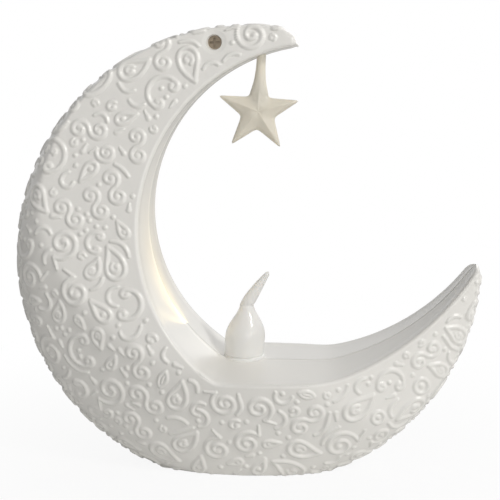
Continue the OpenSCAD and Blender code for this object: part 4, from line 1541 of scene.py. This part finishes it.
@dataclass
class CandleLight:
    """The flame cover with its collar, skirt and curled tail.

    Attributes:
        collar_r, collar_h: Size of the collar.
        flame_r, flame_h: Size of the round part; straight_share of it is straight.
        neck_r, neck_lean: Radius of the neck, and how far it leans.
        wall, soft: Thickness of the cover, and rounding of its collar.
        tail_h, tail_lean, tail_bow: Height and lean of the tail, and how it curves.
        tail_thin, tail_turn: How much thinner it gets, and how far its tip is turned in degrees.
        tail_round, tail_least: Share of it that its tip's rounding takes, and least square of that.
        skirt_r, skirt_h: Size of the skirt in the floor.
        bead_out, bead_span: How far the skirt's bead stands out, and its heights.
        rows, sides: Points along the round part, and round it.
        tail_rings, tail_sides: Rings of the tail, and their sides.
    """

    collar_r: float = 6.0 * MM
    collar_h: float = 1.6 * MM
    flame_r: float = 5.8 * MM
    flame_h: float = 15.2 * MM
    straight_share: float = 0.3
    neck_r: float = 1.95 * MM
    neck_lean: float = 0.7 * MM
    wall: float = 0.9 * MM
    soft: float = 0.25 * MM
    tail_h: float = 9.7 * MM
    tail_lean: float = 6.3 * MM
    tail_bow: float = 1.12
    tail_thin: float = 0.72
    tail_turn: float = 40.0
    tail_round: float = 0.07
    tail_least: float = 0.04
    skirt_r: float = 5.1 * MM
    skirt_h: float = 3.4 * MM
    bead_out: float = 0.45 * MM
    bead_span: Span = (1.7 * MM, 1.75 * MM)
    rows: int = 40
    sides: int = 64
    tail_rings: int = 30
    tail_sides: int = 28

    def bell(self, share: float) -> float:
        """Radius of the round part at a share of its height."""
        past = max(0.0, share - self.straight_share) / (1.0 - self.straight_share)
        return self.neck_r + (self.flame_r - self.neck_r) * 0.5 * (1.0 + math.cos(math.pi * past ** 1.25))

    def build(self) -> None:
        """Builds the cover as one closed shell with its tail."""
        axis = middle_of("lamp")
        foot = Vector((axis.x, axis.y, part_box("flame_cover")[0].z))
        bm = bmesh.new()
        self.add_shell(bm)
        self.add_tail(bm)
        bmesh.ops.translate(bm, verts=bm.verts[:], vec=foot)
        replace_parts(finish_mesh(bm, "flame_shell", MILKY, "crescent", crease=50.0), "flame_cover")

    def add_shell(self, bm: bmesh.types.BMesh) -> None:
        """Spins the wall, from the skirt's foot up outside and down inside.

        Args:
            bm: Where it goes.
        """
        seat, top, soft = self.skirt_h, self.skirt_h + self.collar_h, self.soft
        shares = [index / self.rows for index in range(self.rows + 1)]
        outline = [(self.skirt_r, 0.0), (self.skirt_r + self.bead_out, self.bead_span[0]),
                   (self.skirt_r, self.bead_span[1]), (self.skirt_r, seat),
                   (self.collar_r - soft, seat), (self.collar_r, seat + soft),
                   (self.collar_r, top - soft), (self.collar_r - soft, top),
                   (self.flame_r - soft, top + soft / 2), (self.flame_r - soft / 2, top + soft),
                   (self.flame_r, top + 2 * soft)]
        outline += [(self.bell(share), top + self.flame_h * share) for share in shares[2:]]
        outline += [(0.0, top + self.flame_h)]
        inner = [(max(0.0, self.bell(share) - self.wall), top + (self.flame_h - 2 * self.wall) * share)
                 for share in shares]
        outline += [(0.0, inner[-1][1])] + inner[::-1]
        outline += [(self.skirt_r - self.wall, seat), (self.skirt_r - self.wall, 0.0), (self.skirt_r, 0.0)]
        for vertex in spun(bm, outline, self.sides):
            share = min(max((vertex.co.z - top) / self.flame_h, 0.0), 1.0)
            vertex.co.x += self.neck_lean * share ** 2 * (3 - 2 * share)

    def add_tail(self, bm: bmesh.types.BMesh) -> None:
        """Draws the tail ring by ring from the neck to its tip.

        Args:
            bm: Where it goes.
        """
        start = self.skirt_h + self.collar_h + self.flame_h - self.neck_r / 4
        made = bmesh.ops.create_circle(bm, cap_ends=True, segments=self.tail_sides, radius=1.0)
        ring_verts = made["verts"]
        flat = [vertex.co.copy() for vertex in ring_verts]
        for index in range(self.tail_rings):
            share = 1.0 - (1.0 - index / (self.tail_rings - 1)) ** 2
            if index:
                edges = {edge for vertex in ring_verts for edge in vertex.link_edges
                         if all(v in ring_verts for v in edge.verts)}
                made = bmesh.ops.extrude_edge_only(bm, edges=list(edges))
                fresh = [item for item in made["geom"] if isinstance(item, bmesh.types.BMVert)]
                ring_verts = self.in_order(ring_verts, fresh)
            past = max((share - 1.0) / self.tail_round + 1.0, 0.0)
            radius = self.neck_r * (1.0 - self.tail_thin * share ** 1.6)
            radius *= math.sqrt(max(1.0 - past ** 2, self.tail_least))
            across = self.neck_lean + self.tail_lean * share ** self.tail_bow
            place = Vector((across, 0.0, start + self.tail_h * share))
            lean = Matrix.Rotation(math.radians(self.tail_turn * share ** 0.4), 3, "Y")
            for vertex, spot in zip(ring_verts, flat):
                vertex.co = place + lean @ (spot * radius)
        bmesh.ops.contextual_create(bm, geom=ring_verts)
        bmesh.ops.recalc_face_normals(bm, faces=bm.faces[:])

    @staticmethod
    def in_order(old: Sequence[bmesh.types.BMVert],
                 fresh: Sequence[bmesh.types.BMVert]) -> list[bmesh.types.BMVert]:
        """Sorts new ring vertices in the order of the ring that they came from.

        Args:
            old: The ring before.
            fresh: The new vertices.

        Returns:
            The new vertices in order.
        """
        by_old = {}
        for vertex in fresh:
            for edge in vertex.link_edges:
                other = edge.other_vert(vertex)
                if other in old:
                    by_old[other] = vertex
        return [by_old[vertex] for vertex in old]


@dataclass
class InnerParts:
    """Light, battery, switch, screws and leads.

    Attributes:
        dressed: CAD nodes with their finishes and the bodies that they move with.
    """

    dressed: tuple[tuple[str, Finish, str], ...] = (
        ("lamp", LENS, "crescent"),
        ("lamp_pins", TIN, "crescent"),
        ("lamp_spacer", WHITE, "crescent"),
        ("circuit_board", LAMINATE, "crescent"),
        ("flicker_chip", BLACK, "crescent"),
        ("resistor", LACQUER, "crescent"),
        ("board_screws", ZINC, "crescent"),
        # This screw's darker zinc is painted shade of its well.
        ("upper_screw", PAINTED_SHADE_ZINC, "crescent"),
        ("lower_screws", ZINC, "crescent"),
        ("battery_tray", BLACK, "crescent"),
        ("cell_left", NICKEL, "crescent"),
        ("cell_middle", NICKEL, "crescent"),
        ("cell_right", NICKEL, "crescent"),
        ("positive_contact", TIN, "crescent"),
        ("negative_contact", TIN, "crescent"),
        ("battery_door", WHITE, "door"),
        ("switch_body", ZINC, "crescent"),
        ("switch_terminals", TIN, "crescent"),
        ("switch_knob", BLACK, "knob"),
        ("positive_lead", RED, "crescent"),
        ("switched_lead", ORANGE, "crescent"),
        ("negative_lead", DARK, "crescent"),
    )

    def build(self) -> None:
        """Replaces each node by a smooth copy of itself with its finish."""
        for node, finish, body in self.dressed:
            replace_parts(finish_mesh(merged_copy(node), f"{node}_surface", finish, body), node)


@dataclass(frozen=True)
class SoftLight:
    """One soft area light.

    Attributes:
        name: Its name.
        place, target: Where it stands, and what it points at.
        size: Width and height.
        power: Power in watts.
        colour: Colour of its light.
    """

    name: str
    place: Place
    target: Place
    size: Span
    power: float
    colour: Colour

    def build(self) -> None:
        """Adds the light to the scene."""
        data = bpy.data.lights.new(self.name, "AREA")
        data.shape = "RECTANGLE"
        data.size, data.size_y = self.size
        data.energy = self.power
        data.color = self.colour
        light = bpy.data.objects.new(self.name, data)
        light.location = self.place
        light.rotation_euler = (Vector(self.target) - Vector(self.place)).to_track_quat("-Z", "Y").to_euler()
        bpy.context.scene.collection.objects.link(light)


@dataclass
class Studio:
    """Floor, lights and the camera at the photograph's place.

    Attributes:
        camera_at, camera_turn, lens: Place, rotation and focal length of the camera.
        near_clip: Least distance that it sees.
        room_colour: Colour of the light that fills the room.
        fill, fill_from, fill_lean: Its strength, where it is strongest, and how much.
        floor_colour, floor_rough, floor_shine: Colour, roughness and shine of the floor.
        floor_gap: How far the floor lies under the base.
        floor_r, floor_sides: Radius of the floor, and its sides.
        floor_hole: Half width and half depth of its opening under the object.
        shadow_reach, shadow_share: How far the shadow shows on the floor, and how much of it.
        lights: The soft lights.
    """

    camera_at: Place = (0.01563, -0.2375, 0.1003)
    camera_turn: Place = (1.4108, 0.0, 0.062)
    lens: float = 61.2
    near_clip: float = 5.0 * MM
    room_colour: tuple[float, float, float, float] = (1.0, 0.99, 0.97, 1.0)
    fill: float = 0.28
    fill_from: Place = (1.0, -0.4, 0.0)
    fill_lean: float = 0.5
    floor_colour: tuple[float, float, float, float] = (0.88, 0.88, 0.875, 1.0)
    floor_rough: float = 0.9
    floor_shine: float = 0.1
    floor_gap: float = 0.15 * MM
    floor_r: float = 1.6
    floor_sides: int = 72
    floor_hole: Span = (26.0 * MM, 10.5 * MM)
    shadow_reach: float = 160.0 * MM
    shadow_share: float = 0.1
    lights: tuple[SoftLight, ...] = (
        SoftLight("right_soft", (0.55, -0.44, 0.6), (0.0, 0.0, 0.06), (0.17, 0.17), 2.7, (1.0, 0.985, 0.96)),
        SoftLight("low_soft", (0.4, -0.9, 0.2), (0.0, 0.0, 0.06), (0.6, 0.3), 1.3, (1.0, 0.99, 0.965)),
        SoftLight("back_soft", (0.3, 0.6, 0.4), (0.0, 0.0, 0.06), (0.4, 0.4), 0.9, (1.0, 0.99, 0.97)),
        SoftLight("warm_glint", (-0.016, 0.0, 0.052), (-0.045, 0.004, 0.056), (0.004, 0.03), 0.001,
                  (1.0, 0.76, 0.3)))

    def build(self) -> None:
        """Sets the stage."""
        scene = bpy.context.scene
        scene.view_settings.view_transform = "Standard"
        self.add_camera(scene)
        self.add_world(scene)
        self.add_floor()
        for light in self.lights:
            light.build()

    def add_camera(self, scene: bpy.types.Scene) -> None:
        """Adds the camera and makes it the scene's own."""
        data = bpy.data.cameras.new("photo_view")
        data.lens = self.lens
        data.clip_start = self.near_clip
        camera = bpy.data.objects.new("photo_view", data)
        camera.location = self.camera_at
        camera.rotation_euler = self.camera_turn
        scene.collection.objects.link(camera)
        scene.camera = camera

    def add_world(self, scene: bpy.types.Scene) -> None:
        """Fills the room with soft light and shows white behind the object."""
        world = bpy.data.worlds.new("studio")
        world.use_nodes = True
        world.node_tree.nodes.clear()
        sheet = Sheet(world.node_tree)
        way = sheet.add("ShaderNodeTexCoord").outputs["Generated"]
        facing = sheet.add("ShaderNodeVectorMath", {0: way, 1: Vector(self.fill_from).normalized()},
                           operation="DOT_PRODUCT").outputs["Value"]
        span = (self.fill * (1.0 - self.fill_lean), self.fill * (1.0 + self.fill_lean))
        level = sheet.ranged(facing, (-1.0, 1.0), span)
        room = sheet.add("ShaderNodeBackground", {"Color": self.room_colour, "Strength": level})
        seen = sheet.add("ShaderNodeBackground", {"Color": FULL_WHITE, "Strength": 1.0})
        rays = sheet.add("ShaderNodeLightPath").outputs
        either = sheet.math("MAXIMUM", rays["Is Camera Ray"], rays["Is Glossy Ray"])
        straight = sheet.math("MAXIMUM", either, rays["Is Transmission Ray"])
        surface = sheet.blended(straight, room.outputs[0], seen.outputs[0])
        sheet.add("ShaderNodeOutputWorld", {"Surface": surface})
        scene.world = world

    def floor_material(self) -> bpy.types.Material:
        """Makes the floor's material, which keeps the shadow and is clear from beneath.

        Returns:
            The material.
        """
        material = bpy.data.materials.new("pale_floor")
        material.use_nodes = True
        nodes = material.node_tree.nodes
        sheet = Sheet(material.node_tree)
        matt = nodes["Principled BSDF"]
        sheet.feed(matt, {"Base Color": self.floor_colour, "Roughness": self.floor_rough,
                          "Specular IOR Level": self.floor_shine})
        shine = sheet.add("ShaderNodeEmission", {"Color": FULL_WHITE, "Strength": 1.0})
        place = sheet.add("ShaderNodeTexCoord").outputs["Object"]
        away = sheet.add("ShaderNodeVectorMath", {0: place}, operation="LENGTH").outputs["Value"]
        near = sheet.ranged(away, (0.0, self.shadow_reach), (1.0 - self.shadow_share, 1.0), "SMOOTHSTEP")
        share = sheet.math("MULTIPLY", sheet.add("ShaderNodeLightPath").outputs["Is Camera Ray"], near)
        above = sheet.blended(share, matt.outputs[0], shine.outputs[0])
        beneath = sheet.add("ShaderNodeNewGeometry").outputs["Backfacing"]
        clear = sheet.add("ShaderNodeBsdfTransparent").outputs[0]
        sheet.feed(nodes["Material Output"], {"Surface": sheet.blended(beneath, above, clear)})
        return material

    def add_floor(self) -> None:
        """Lays a round floor that is open under the object, so that the base shows from beneath."""
        bm = bmesh.new()
        bmesh.ops.create_circle(bm, cap_ends=False, segments=self.floor_sides, radius=1.0)
        hole = bm.verts[:]
        made = bmesh.ops.extrude_edge_only(bm, edges=bm.edges[:])
        rim = [item for item in made["geom"] if isinstance(item, bmesh.types.BMVert)]
        bmesh.ops.scale(bm, verts=hole, vec=(*self.floor_hole, 1.0))
        bmesh.ops.scale(bm, verts=rim, vec=(self.floor_r, self.floor_r, 1.0))
        bmesh.ops.translate(bm, verts=bm.verts[:], vec=(0.0, 0.0, -self.floor_gap))
        bm.normal_update()
        bmesh.ops.reverse_faces(bm, faces=[face for face in bm.faces if face.normal.z < 0.0])
        mesh = bpy.data.meshes.new("floor")
        bm.to_mesh(mesh)
        bm.free()
        mesh.materials.append(self.floor_material())
        floor = bpy.data.objects.new("floor", mesh)
        bpy.context.scene.collection.objects.link(floor)


def main() -> None:
    """Builds the ornament and its studio."""
    logging.basicConfig(level=logging.INFO, format="%(name)s: %(message)s")
    case = CrescentCase(CrescentForm.from_frame())
    case.build_shells()
    case.build_skins()
    StarPendant().build()
    CandleLight().build()
    InnerParts().build()
    Studio().build()


if __name__ == "__main__":
    main()
